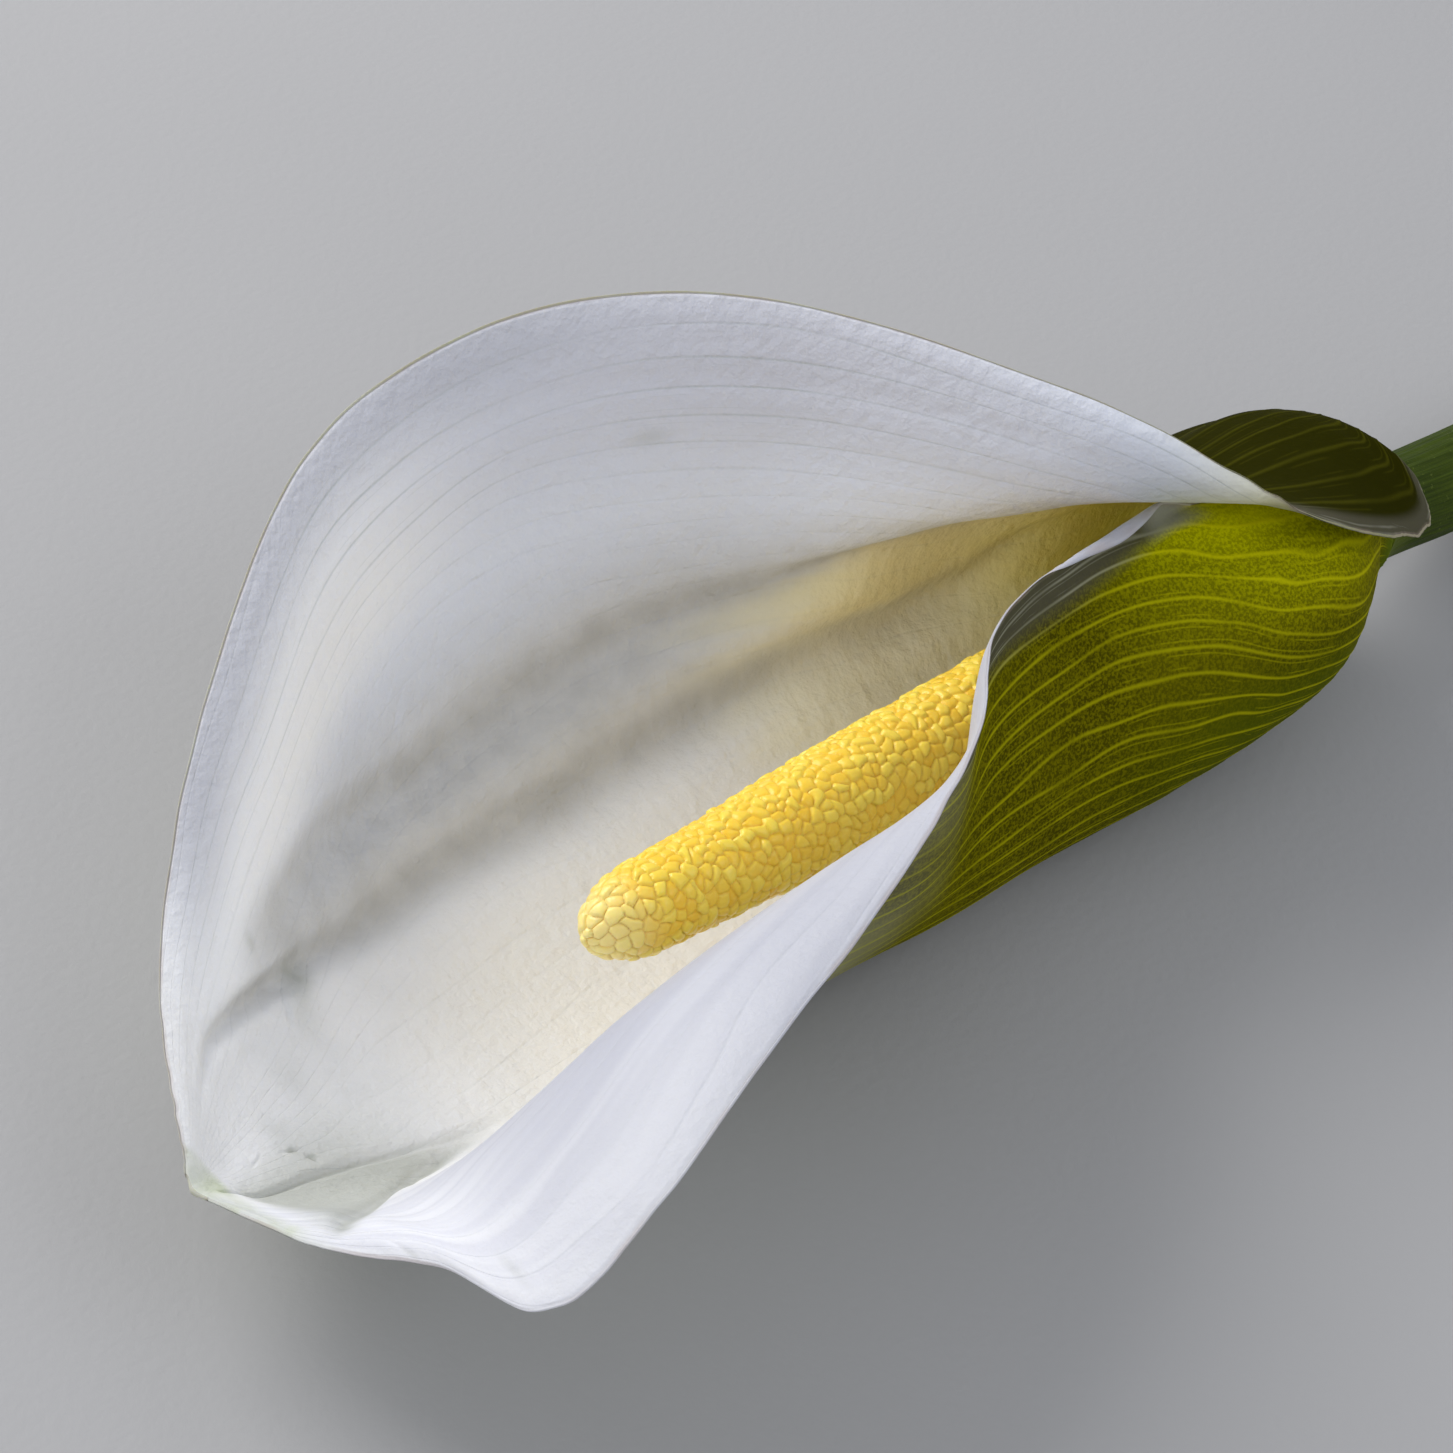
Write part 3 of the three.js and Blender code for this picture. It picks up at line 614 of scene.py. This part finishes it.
def make_stem(material, cut_material):
    angle = 2 * np.pi * np.arange(STEM_AROUND) / STEM_AROUND
    turn = angle / (2 * math.pi)
    ribs = 0.05 * np.cos(26 * angle) + 0.03 * np.cos(41 * angle + 1)
    rings, coords = [], []

    def ring(middle, radius, lean, relief, run):
        side = (radius + relief) * np.cos(angle)
        high = (radius + relief) * np.sin(angle)
        points = np.stack([high * math.sin(lean), side, high * math.cos(lean)], -1) + np.array(middle)
        points[:, 2] = np.maximum(points[:, 2], 0)
        rings.append(points)
        coords.append(np.stack([turn, np.full(STEM_AROUND, run), np.full(STEM_AROUND, radius)], -1))

    for x in np.linspace(-CORE_LENGTH, -SEAT_GAP / 2, 6):
        height = TUBE_BASE_HEIGHT - NECK_DROP - x * math.sin(AXIS_TILT) - CORE_DROP
        ring((x, NECK_SIDE, height), CORE_RADIUS, AXIS_TILT, 0 * ribs, 0)
    for x in np.linspace(STEM_SHOULDER, STEM_LENGTH, STEM_STEPS):
        share = x / STEM_LENGTH
        radius = STEM_RADIUS + (STEM_END_RADIUS - STEM_RADIUS) * share
        radius += 0.9 * math.exp(-(x - STEM_SHOULDER) / 2.2)
        slope = stem_height(x + 0.5) - stem_height(x - 0.5)
        wander = 0.10 * soft_noise(np.full(STEM_AROUND, x * 0.11), 6 + 2 * np.cos(angle), 51)
        relief = ribs * ease(x, STEM_SHOULDER, 8)
        relief = relief + wander * window(x, STEM_SHOULDER, 12, STEM_LENGTH - 6, STEM_LENGTH)
        middle = (x, NECK_SIDE + STEM_SIDE_SWEEP * share * share, float(stem_height(x)))
        ring(middle, radius, -math.atan(slope), relief, x)
    # the cut face, with bundles that stand out a little
    outer = rings[-1]
    centre = outer.mean(0)
    side_rings = len(rings)
    for k, share in enumerate(np.linspace(0.985, 0.04, 34)):
        flat = centre + (outer - centre) * share
        lump = 0.22 * soft_noise(flat[:, 1] * 1.5, flat[:, 2] * 1.5, 52)
        flat[:, 0] = STEM_LENGTH + (lump - 0.25) * ease(share, 1.0, 0.9)
        rings.append(flat)
        run = np.full(STEM_AROUND, STEM_LENGTH + k)
        coords.append(np.stack([turn, run, np.full(STEM_AROUND, share)], -1))
    points = np.concatenate(rings + [[rings[0].mean(0)], [rings[-1].mean(0)]])
    points = (points + np.array([BASE[0], BASE[1], 0])) * MM
    slots = np.repeat((np.arange(len(rings) - 1) >= side_rings - 1).astype(int), STEM_AROUND)
    slots = np.concatenate([slots, np.zeros(STEM_AROUND, int), np.ones(STEM_AROUND, int)])
    coords = np.concatenate(coords + [[[0, 0, 0]], [[0, STEM_LENGTH + 40, 0]]])
    faces = tube_faces(len(rings), STEM_AROUND)
    return mesh_object("stem_stalk", points, faces, slots, [material, cut_material], {"stalk": coords})


# ---- materials ---------------------------------------------------------------------------
# Colours are linear red, green and blue; two together are the ends of a mixture.
# Several colours below are painted shade, painted light and a painted highlight; the looks say which
# where they paint them.
INSIDE = {
    "white": ((0.80, 0.81, 0.83), (0.87, 0.875, 0.89)),
    "upper": (0.76, 0.80, 0.90), "flank": (0.95, 0.965, 1.0),
    "wide_side_shade": (0.60, 0.61, 0.68), "wide_margin_shade": (0.50, 0.51, 0.57),
    "wing": ((0.55, 0.56, 0.62), (0.63, 0.64, 0.69)),
    "wing_tip": ((0.71, 0.72, 0.79), (0.81, 0.82, 0.87)),
    "cream": (0.89, 0.84, 0.71), "bowl_floor_light": (0.96, 0.935, 0.86),
    "throat_glow": (0.93, 0.82, 0.42), "pale_throat_light": (0.98, 0.95, 0.80),
    "deep": (0.92, 0.84, 0.22), "lobe": (0.20, 0.20, 0.13),
    "hollow_shade": (0.39, 0.385, 0.36), "wing_fold_shade": (0.44, 0.45, 0.53),
    "crease": (0.33, 0.35, 0.29), "bruise": (0.52, 0.58, 0.40), "vein": (0.38, 0.43, 0.42),
}
OUTSIDE = {
    "dark": ((0.058, 0.052, 0.0006), (0.095, 0.086, 0.001)), "speck": (0.165, 0.15, 0.0008),
    "glow": ((0.26, 0.26, 0.001), (0.48, 0.48, 0.001)),
    "high": ((0.48, 0.48, 0.001), (0.80, 0.80, 0.001)),
    "under": ((0.85, 0.84, 0.001), (1.0, 0.99, 0.001)),
    "front": (0.20, 0.18, 0.001), "belly": (0.07, 0.092, 0.001),
    "vein": ((0.38, 0.36, 0.003), (0.66, 0.64, 0.003)), "vein_lit": (1.0, 0.96, 0.004),
    "lobe": (0.020, 0.020, 0.0003), "shaded_lobe_vein": (0.075, 0.073, 0.004),
    "pale": ((0.72, 0.74, 0.62), (0.80, 0.81, 0.72)),
    "pale_vein": (0.45, 0.55, 0.22), "rib": (0.42, 0.50, 0.16),
    "band": ((0.085, 0.08, 0.052), (0.5, 0.5, 0.44)),
    "band_vein": (0.42, 0.42, 0.34), "neck": (0.085, 0.115, 0.005),
}
RIM_BROWN = (0.40, 0.30, 0.26)
MALE = {
    "body": ((0.98, 0.60, 0.035), (1.0, 0.73, 0.08)), "tip": (1.0, 0.82, 0.33),
    "pollen": (1.0, 0.82, 0.2), "seam": (0.86, 0.47, 0.018),
}
FEMALE = {
    "body": ((0.42, 0.50, 0.14), (0.58, 0.62, 0.24)),
    "seam": (0.30, 0.32, 0.08), "stigma": (0.66, 0.60, 0.34),
}
STALK = {
    "fibre": ((0.022, 0.038, 0.0015), (0.046, 0.072, 0.003)), "blotch": (0.06, 0.085, 0.005),
    "neck": (0.10, 0.13, 0.006), "fleck": (0.20, 0.25, 0.05), "dry": (0.25, 0.22, 0.08),
    "pith": ((0.42, 0.47, 0.20), (0.62, 0.64, 0.36)),
    "bundle": (0.26, 0.28, 0.08), "skin": (0.13, 0.18, 0.03),
}
FLOOR = ((0.40, 0.40, 0.41), (0.44, 0.44, 0.45))


class Look:
    """A node material; color and normal hold what has been painted and raised so far. Where a
    factor is asked for, a tuple stands for what ease() makes of its members."""

    def __init__(self, name, roughness, specular):
        self.material = bpy.data.materials.new(name)
        self.material.use_nodes = True
        self.tree = self.material.node_tree
        self.shader = self.tree.nodes["Principled BSDF"]
        self.shader.inputs["Specular IOR Level"].default_value = specular
        self.shader.inputs["Roughness"].default_value = roughness
        self.coords = self.tree.nodes.new("ShaderNodeTexCoord").outputs["Object"]
        self.color = None
        self.normal = None

    def put(self, socket, value):
        if isinstance(value, bpy.types.NodeSocket):
            self.tree.links.new(value, socket)
        elif isinstance(value, tuple) and len(socket.default_value) == 4:
            socket.default_value = (*value, 1.0)
        elif value is not None:
            socket.default_value = value

    def add(self, kind, output, **settings):
        """Adds a node, fills its inputs and gives back one output."""
        node = self.tree.nodes.new("ShaderNode" + kind)
        for name, value in settings.items():
            self.put(node.inputs[name], value)
        return node.outputs[output]

    def math(self, operation, *values):
        node = self.tree.nodes.new("ShaderNodeMath")
        node.operation = operation
        for socket, value in zip(node.inputs, values):
            self.put(socket, value)
        return node.outputs[0]

    def ease(self, value, low, high, start=0.0, end=1.0):
        """start below low, end above high, smooth between; low may be the larger."""
        node = self.tree.nodes.new("ShaderNodeMapRange")
        node.interpolation_type = "SMOOTHSTEP"
        places = ("Value", "From Min", "From Max", "To Min", "To Max")
        for place, setting in zip(places, (value, low, high, start, end)):
            self.put(node.inputs[place], setting)
        return node.outputs["Result"]

    def window(self, value, rise, full, fade, end):
        """0 below rise, 1 between full and fade, 0 above end, smooth between."""
        return self.times((value, rise, full), (value, end, fade))

    def factor(self, given):
        return self.ease(*given) if isinstance(given, tuple) else given

    def chain(self, operation, factors):
        result = self.factor(factors[0])
        for factor in factors[1:]:
            result = self.math(operation, result, self.factor(factor))
        return result

    def times(self, *factors):
        """The product of the factors."""
        return self.chain("MULTIPLY", factors)

    def most(self, *factors):
        """The largest of the factors."""
        return self.chain("MAXIMUM", factors)

    def vary(self, value, pattern, amount):
        """The value, shifted up and down alike by a pattern that runs from 0 to 1."""
        return self.math("ADD", value, self.times(self.math("SUBTRACT", pattern, 0.5), amount))

    def mix(self, factor, a, b):
        node = self.tree.nodes.new("ShaderNodeMix")
        node.data_type = "RGBA"
        node.clamp_factor = True
        self.put(node.inputs[0], self.factor(factor))
        self.put(node.inputs[6], a)
        self.put(node.inputs[7], b)
        return node.outputs[2]

    def paint(self, color, *factors):
        """Covers what has been painted so far, by the product of the factors."""
        self.color = self.mix(self.times(*factors), self.color, color)

    def noise(self, scale, detail, rough=0.5, vector=None):
        return self.add("TexNoise", "Fac", Scale=scale, Detail=detail, Roughness=rough,
                        Vector=self.coords if vector is None else vector)

    def cells(self, scale):
        return self.add("TexVoronoi", "Distance", Scale=scale, Vector=self.coords)

    def parts(self, name):
        """The three numbers of a point attribute."""
        node = self.tree.nodes.new("ShaderNodeAttribute")
        node.attribute_name = name
        split = self.tree.nodes.new("ShaderNodeSeparateXYZ")
        self.put(split.inputs[0], node.outputs["Vector"])
        return split.outputs[:]

    def plane(self, x, x_scale, y, y_scale):
        """Coordinates for a noise that runs over x and y, each at its own scale."""
        return self.add("CombineXYZ", "Vector", X=self.times(x, x_scale), Y=self.times(y, y_scale))

    def raise_by(self, distance, height):
        """Adds a relief to those before it; distance, in metres, is its full height."""
        self.normal = self.add("Bump", "Normal", Distance=distance, Height=height,
                               Normal=self.normal)

    def line(self, count, width):
        """1 on the whole numbers of count, falling to 0 at width either side."""
        shifted = self.math("ADD", count, 0.5)
        from_middle = self.math("ABSOLUTE", self.math("SUBTRACT", self.math("FRACT", shifted), 0.5))
        return self.ease(from_middle, width, 0.0)

    def finish(self, soft=0.0, radius=(1.0, 1.0, 1.0), scale=0.002):
        """soft is how much light is scattered below the surface, over radius times scale."""
        settings = {"Base Color": self.color, "Normal": self.normal, "Subsurface Weight": soft,
                    "Subsurface Radius": radius, "Subsurface Scale": scale}
        for name, value in settings.items():
            self.put(self.shader.inputs[name], value)
        return self.material


def vein_lines(look, count, travel, width):
    """Main veins, finer ones between them, and short slanting links, each from 0 to 1."""
    along = look.plane(count, 0.12, travel, 0.03)

    def along_noise(scale, detail=1.0):
        return look.noise(scale, detail, vector=along)
    main = look.times(look.line(count, width), (along_noise(3.0), 0.25, 0.6, 0.45, 1.0))
    second = look.math("ADD", look.times(count, 2.0), 0.5)
    fine = look.times(look.line(second, width * 0.9), (along_noise(5.0), 0.46, 0.6))
    slant = look.math("ADD", look.times(travel, 0.085), look.times(count, 0.9))
    slant = look.math("ADD", slant, look.times(along_noise(6.0), 1.4))
    links = look.times(look.line(slant, width * 0.14), (along_noise(11.0, 0.0), 0.56, 0.66))
    return main, fine, links


def paint_rim(look, margin, width):
    """A thin broken brown line along the sheet's margin."""
    look.paint(RIM_BROWN, (margin, width, 0.05), (look.noise(160.0, 2.0), 0.35, 0.6), 0.35)


def inside_look():
    look = Look("petal_inside", roughness=0.52, specular=0.32)
    count, travel, margin = look.parts("sheet")
    tube, throat, _ = look.parts("zone")
    u, v, _ = look.parts("place")
    hollow_shade, back, crease = look.parts("shade")
    main, fine, links = vein_lines(look, count, travel, 0.07)

    # white; painted shade makes the upper part cooler and darker and the wide side greyer, most at its
    # margin; painted light makes the wide side's flank lightest
    look.color = look.mix((look.noise(55.0, 3.0), 0.35, 0.65), *INSIDE["white"])
    look.paint(INSIDE["upper"], (u, 0.25, 0.5), (v, 0.74, 0.6))
    look.paint(INSIDE["flank"], (u, 0.56, 0.76), look.window(v, 0.53, 0.6, 0.73, 0.8))
    look.paint(INSIDE["wide_side_shade"], (u, 0.6, 0.92), look.window(v, 0.34, 0.47, 0.46, 0.66), 0.95)
    look.paint(INSIDE["wide_margin_shade"], (margin, 10.0, 0.5), (u, 0.0, 0.2),
               look.window(v, 0.46, 0.56, 0.69, 0.78), 0.9)
    # the near wing: painted shade, darker away from the tip, streaked along the veins by a painted sheen
    painted_sheen = look.noise(1.0, 2.0, vector=look.plane(count, 1.1, travel, 0.012))
    painted_sheen = look.ease(painted_sheen, 0.35, 0.65)
    look.paint(look.mix((v, 0.72, 0.84), look.mix(painted_sheen, *INSIDE["wing"]),
                        look.mix(painted_sheen, *INSIDE["wing_tip"])), (u, -0.35, -0.6))

    # cream in the bowl; painted light makes its floor under the spadix lightest; a yellow painted glow,
    # for light through the tube's wall, goes down in the throat
    look.paint(INSIDE["cream"], look.window(u, -0.45, -0.2, 0.25, 0.62), (v, 0.74, 0.46), 0.3)
    look.paint(INSIDE["bowl_floor_light"], look.window(u, -0.4, -0.2, 0.1, 0.24),
               look.window(v, 0.36, 0.46, 0.58, 0.72), 0.85)
    # the throat's yellow is a painted glow of the light that shines through the tube's green wall,
    # streaked along the veins
    streaks = look.noise(1.0, 2.0, vector=look.plane(count, 0.9, travel, 0.01))
    throat_glow = look.ease(look.vary(throat, streaks, 0.7), 0.25, 0.95)
    look.paint(INSIDE["throat_glow"], throat_glow, 0.8)
    # paler painted light on the throat's lit side
    look.paint(INSIDE["pale_throat_light"], (u, 0.37, 0.27), throat_glow, 0.75)
    # a deeper yellow painted glow far down the tube
    look.paint(INSIDE["deep"], (tube, 0.45, 0.95), 0.85)
    # painted shade on the inside of the far lobe behind the tube
    look.paint(INSIDE["lobe"], (u, 0.6, 0.85), (v, 0.33, 0.26), 0.85)

    # painted shade in the hollows of the soft folds, on the near wing's back and in the creases; the
    # crease colour also paints the grey spots
    uneven = look.ease(look.noise(260.0, 4.0), 0.3, 0.7, 0.58, 0.74)
    look.paint(INSIDE["hollow_shade"], hollow_shade, uneven, (v, 0.32, 0.45, 0.55, 1.0))
    look.paint(INSIDE["wing_fold_shade"], back, 0.75)
    look.paint(INSIDE["crease"], crease, 0.72)
    # grey-green where the tip is bruised
    look.paint(INSIDE["bruise"], (v, 0.915, 0.95), (look.noise(240.0, 3.0), 0.3, 0.7, 0.3, 0.85))
    # grey-green veins, plainest near the wide side's margin
    plain = look.times((u, 0.6, 0.92), (v, 0.82, 0.6, 0.25, 1.0),
                       (look.noise(38.0, 1.0), 0.35, 0.65, 0.25, 1.0), 0.45)
    lines = look.most(main, look.times(fine, 0.45), look.times(links, 0.55))
    look.paint(INSIDE["vein"], lines, look.math("ADD", plain, 0.05),
               (v, 0.86, 0.72, 0.15, 1.0), (margin, 0.3, 2.0))
    paint_rim(look, margin, 0.45)

    # a fine grain, a leathery crinkle, ripples along the veins in the bowl, and the veins
    look.raise_by(0.00003, look.noise(2600.0, 2.0))
    look.raise_by(0.00036, look.times(look.noise(620.0, 3.0, 0.55), (u, -0.5, -0.2, 0.35, 1.0)))
    ripple = look.noise(1.0, 2.0, vector=look.plane(count, 0.5, travel, 0.55))
    look.raise_by(0.00022, look.times(ripple, (u, -0.5, -0.2), (v, 0.76, 0.6),
                                      (u, 0.8, 0.45, 0.35, 1.0)))
    look.raise_by(0.00003, look.times(main, -1.0))
    return look.finish(soft=0.22, radius=(1.0, 0.95, 0.8), scale=0.0016)


def outside_look():
    look = Look("petal_outside", roughness=0.65, specular=0.01)
    count, travel, margin = look.parts("sheet")
    _, _, rib = look.parts("zone")
    u, v, t = look.parts("place")
    main, fine, links = vein_lines(look, count, travel, 0.13)
    lines = look.most(main, look.times(fine, 0.5), look.times(links, 0.4))
    specks = look.ease(look.noise(2900.0, 2.0, 0.6), 0.38, 0.64)
    blotches = look.ease(look.noise(70.0, 3.0), 0.3, 0.7)

    # the tube's speckled green with painted light: bright on top of the near side, brightest close under
    # the lobe
    look.color = look.mix(specks, look.mix(blotches, *OUTSIDE["dark"]), OUTSIDE["speck"])
    glow = look.times((u, -0.56, -0.84), (t, 0.54, 0.26))
    look.paint(look.mix(specks, *OUTSIDE["glow"]), glow, 0.9)
    high = look.times((u, -0.8, -0.93), (t, 0.46, 0.28))
    under = look.times((u, -0.84, -0.92), (t, 0.36, 0.22))
    look.paint(look.mix(under, look.mix(specks, *OUTSIDE["high"]),
                        look.mix(specks, *OUTSIDE["under"])), high)
    # painted light towards the mouth; painted shade, darker and greener, down to the belly
    look.paint(OUTSIDE["front"], (t, 0.72, 0.95), (u, -0.66, -0.5), 0.75)
    look.paint(OUTSIDE["belly"], look.window(u, -0.68, -0.42, 0.2, 0.4), (t, 0.62, 0.3), 0.75)
    # the veins take up the painted light, lightest close under the lobe
    vein = look.mix(high, look.mix(glow, *OUTSIDE["vein"]), OUTSIDE["vein_lit"])
    look.paint(vein, lines, 0.85)
    # painted shade makes the far side's lobe behind the tube a dark olive, its veins a little lighter
    painted_lobe_shade = look.mix(look.times(lines, 0.5), OUTSIDE["lobe"], OUTSIDE["shaded_lobe_vein"])
    look.paint(painted_lobe_shade, (u, 0.3, 0.42), (v, 0.36, 0.26))

    # the open part is creamy white with faint green veins and a green rib to the tip
    pale = look.mix(blotches, *OUTSIDE["pale"])
    pale = look.mix(look.times(lines, 0.45), pale, OUTSIDE["pale_vein"])
    pale = look.mix(look.times(rib, 0.55), pale, OUTSIDE["rib"])
    look.paint(pale, (look.vary(t, look.noise(45.0, 2.0), 0.25), 0.72, 1.25))
    # a grey band along the margin, with the veins' ends in it: dark with painted shade along the tube,
    # lighter on the open part
    reach = look.ease(v, 0.30, 0.44, 3.0, 6.8)
    share = look.math("DIVIDE", look.math("ADD", margin, look.times(main, -0.25)), reach)
    band_out_of_shade = look.most((v, 0.62, 0.9), look.times((u, 0.0, 0.3), (v, 0.3, 0.42)),
                      look.times((v, 0.35, 0.325), (u, 0.0, -0.2), 0.7))
    grey = look.mix(band_out_of_shade, *OUTSIDE["band"])
    grey = look.mix(look.times(lines, 0.55), grey, OUTSIDE["band_vein"])
    look.paint(grey, (share, 1.0, 0.45), look.most((v, 0.275, 0.315), (u, -0.2, 0.0)), 0.92)
    # the neck turns the stem's green
    look.paint(OUTSIDE["neck"], (v, 0.05, 0.005))
    paint_rim(look, margin, 0.5)
    look.raise_by(0.00004, look.noise(2200.0, 2.0))
    look.raise_by(0.00012, look.noise(420.0, 3.0))
    return look.finish(soft=0.18, radius=(0.8, 1.0, 0.3), scale=0.0014)


def male_look():
    look = Look("pollen_yellow", roughness=0.3, specular=0.4)
    pad, luck, run = look.parts("floret")
    look.color = look.mix(luck, *MALE["body"])
    # painted highlight: the round tip paler and creamier
    look.paint(MALE["tip"], (run, 1.07, 1.145), 0.85)
    look.paint(MALE["pollen"], (look.noise(1400.0, 3.0), 0.52, 0.68), 0.2)
    look.paint(MALE["seam"], (pad, 0.45, 0.05), 0.48)
    look.raise_by(0.00003, look.noise(3000.0, 2.0))
    look.raise_by(0.00006, look.noise(900.0, 2.0))
    return look.finish(soft=0.22, radius=(1.0, 0.7, 0.12), scale=0.0012)


def female_look():
    look = Look("ovary_green", roughness=0.45, specular=0.45)
    pad, luck, _ = look.parts("floret")
    look.color = look.mix(luck, *FEMALE["body"])
    look.paint(FEMALE["seam"], (pad, 0.7, 0.1))
    look.paint(FEMALE["stigma"], (look.noise(900.0, 2.0), 0.58, 0.7))
    look.raise_by(0.00004, look.noise(2000.0, 2.0))
    return look.finish(soft=0.1, radius=(0.8, 1.0, 0.3), scale=0.001)


def stem_look():
    look = Look("stalk_green", roughness=0.55, specular=0.08)
    turn, run, _ = look.parts("stalk")
    fibre = look.noise(1.0, 3.0, 0.6, look.plane(turn, 120.0, run, 0.09))
    look.color = look.mix((fibre, 0.3, 0.7), *STALK["fibre"])
    look.paint(STALK["blotch"], (look.noise(90.0, 3.0), 0.45, 0.75), 0.4)
    look.paint(STALK["neck"], (run, 9.0, 0.5), 0.7)
    look.paint(STALK["fleck"], (look.noise(1700.0, 2.0), 0.64, 0.74), 0.3)
    look.paint(STALK["dry"], (run, STEM_LENGTH - 3.0, STEM_LENGTH), 0.6)
    look.raise_by(0.00010, fibre)
    look.raise_by(0.00004, look.noise(1500.0, 2.0))
    return look.finish(soft=0.1, radius=(0.6, 1.0, 0.2), scale=0.0012)


def cut_look():
    look = Look("stalk_cut", roughness=0.6, specular=0.3)
    _, _, share = look.parts("stalk")
    bundles = look.cells(1250.0)
    look.color = look.mix((look.noise(700.0, 3.0), 0.35, 0.65), *STALK["pith"])
    look.paint(STALK["bundle"], (bundles, 0.34, 0.16), 0.6)
    look.paint(STALK["skin"], (share, 0.86, 0.97))
    look.raise_by(0.00025, bundles)
    look.raise_by(0.00012, look.noise(2400.0, 3.0))
    return look.finish(soft=0.1, radius=(0.8, 1.0, 0.3), scale=0.001)


def floor_look():
    look = Look("studio_floor", roughness=0.75, specular=0.2)
    look.color = look.mix((look.noise(3.0, 3.0), 0.3, 0.7), *FLOOR)
    look.raise_by(0.00006, look.noise(900.0, 3.0))
    return look.finish()


# ---- pieces ------------------------------------------------------------------------------
def belongs(piece, node):
    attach(piece, "root")
    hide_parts(node)


belongs(make_spathe((inside_look(), outside_look())), "spathe")
belongs(make_spadix("spadix_pollen", male_radius, start=FEMALE_END + SEAT_GAP, end=SPADIX_END,
                    size=1.32, height=0.6, around=264, seed=61, relief=male_relief,
                    material=male_look()), "spadix_male_florets")
belongs(make_spadix("spadix_ovaries", female_radius, start=CORE_LENGTH + SEAT_GAP, end=FEMALE_END,
                    size=1.9, height=0.85, around=200, seed=62, relief=female_relief,
                    material=female_look()), "spadix_female_florets")
belongs(make_stem(stem_look(), cut_look()), "stem")


# ---- stage, light and camera -------------------------------------------------------------
FLOOR_SIZE = 4.0                    # metres
FLOOR_STEPS = 8
FLOOR_DROP = 0.0002                 # metres, so that nothing lies in the floor's own plane

# The camera's directions in the flower's axes, and one point with its place in the photograph.
PHOTO_SIZE = 1453
LENS = 100.0
SENSOR = 36.0
CAMERA_BACK = (0.607, -0.4545, 0.652)
CAMERA_RIGHT = (-0.691, -0.707, 0.1506)
SEEN_POINT = (113.0, 0.0, 0.0)      # just short of the spadix's tip
SEEN_PIXEL = (600.0, 925.0)
SEEN_DEPTH = 375.0                  # millimetres from the camera, along its view

LIT_POINT = (90.0, 5.0, 0.0)        # the middle of the bloom, which the lights are aimed at
WARM = (1.0, 0.985, 0.96)
COOL = (0.93, 0.96, 1.0)
# name, direction as shares of the camera's right, up and back, metres away, size, watts, colour
LIGHTS = [
    ("key", (-0.5, 0.82, 0.1), 0.9, (0.55, 0.55), 6.0, WARM),
    ("fill", (0.8, 0.3, 0.6), 1.1, (0.8, 0.6), 2.5, COOL),
    ("front", (-0.8, -0.05, 0.5), 1.0, (0.5, 0.5), 1.7, WARM),
]
WORLD_COLOR = (0.93, 0.95, 1.0, 1.0)
WORLD_STRENGTH = 0.52


def make_floor():
    line = np.linspace(-FLOOR_SIZE / 2, FLOOR_SIZE / 2, FLOOR_STEPS + 1)
    points = [(x, y, 0.0) for y in line for x in line]
    row = FLOOR_STEPS + 1
    corners = [j * row + i for j in range(FLOOR_STEPS) for i in range(FLOOR_STEPS)]
    faces = [(k, k + 1, k + row + 1, k + row) for k in corners]
    floor = mesh_object("floor", points, faces, None, [floor_look()])
    floor.location.z = -FLOOR_DROP


def place(thing, position, right, up, back):
    rows = [[right[k], up[k], back[k], position[k]] for k in range(3)] + [[0, 0, 0, 1]]
    thing.matrix_world = Matrix(rows)


def area_light(name, position, target, size, watts, color):
    data = bpy.data.lights.new(name, "AREA")
    data.shape = "RECTANGLE"
    data.size, data.size_y = size
    data.energy = watts
    data.color = color
    lamp = bpy.data.objects.new(name, data)
    bpy.context.collection.objects.link(lamp)
    back = unit(position - target)
    right = unit(np.cross((0, 0, 1), back))
    place(lamp, position, right, np.cross(back, right), back)


def turned(direction):
    return direction[0] * AX + direction[1] * LAT + direction[2] * TOP


def make_camera():
    """Makes the photo's camera and gives back its directions right, up and back."""
    back = unit(turned(CAMERA_BACK))
    right = turned(CAMERA_RIGHT)
    right = unit(right - back * right.dot(back))
    up = np.cross(back, right)
    focal = PHOTO_SIZE * LENS / SENSOR
    x = (SEEN_PIXEL[0] - PHOTO_SIZE / 2) * SEEN_DEPTH / focal
    y = -(SEEN_PIXEL[1] - PHOTO_SIZE / 2) * SEEN_DEPTH / focal
    seen = BASE + turned(SEEN_POINT)
    position = (seen - x * right - y * up + SEEN_DEPTH * back) * MM
    data = bpy.data.cameras.new("photo_camera")
    data.lens = LENS
    data.sensor_width = SENSOR
    data.clip_start = 0.01
    camera = bpy.data.objects.new("photo_camera", data)
    bpy.context.collection.objects.link(camera)
    place(camera, position, right, up, back)
    bpy.context.scene.camera = camera
    return right, up, back


right, up, back = make_camera()
make_floor()
lit_point = to_frame(np.array(LIT_POINT))
for name, (to_right, to_up, to_back), away, size, watts, color in LIGHTS:
    direction = unit(to_right * right + to_up * up + to_back * back)
    area_light(name, lit_point + direction * away, lit_point, size, watts, color)

world = bpy.data.worlds.new("studio")
world.use_nodes = True
background = world.node_tree.nodes["Background"]
background.inputs["Color"].default_value = WORLD_COLOR
background.inputs["Strength"].default_value = WORLD_STRENGTH
bpy.context.scene.world = world
bpy.context.scene.view_settings.view_transform = "Standard"
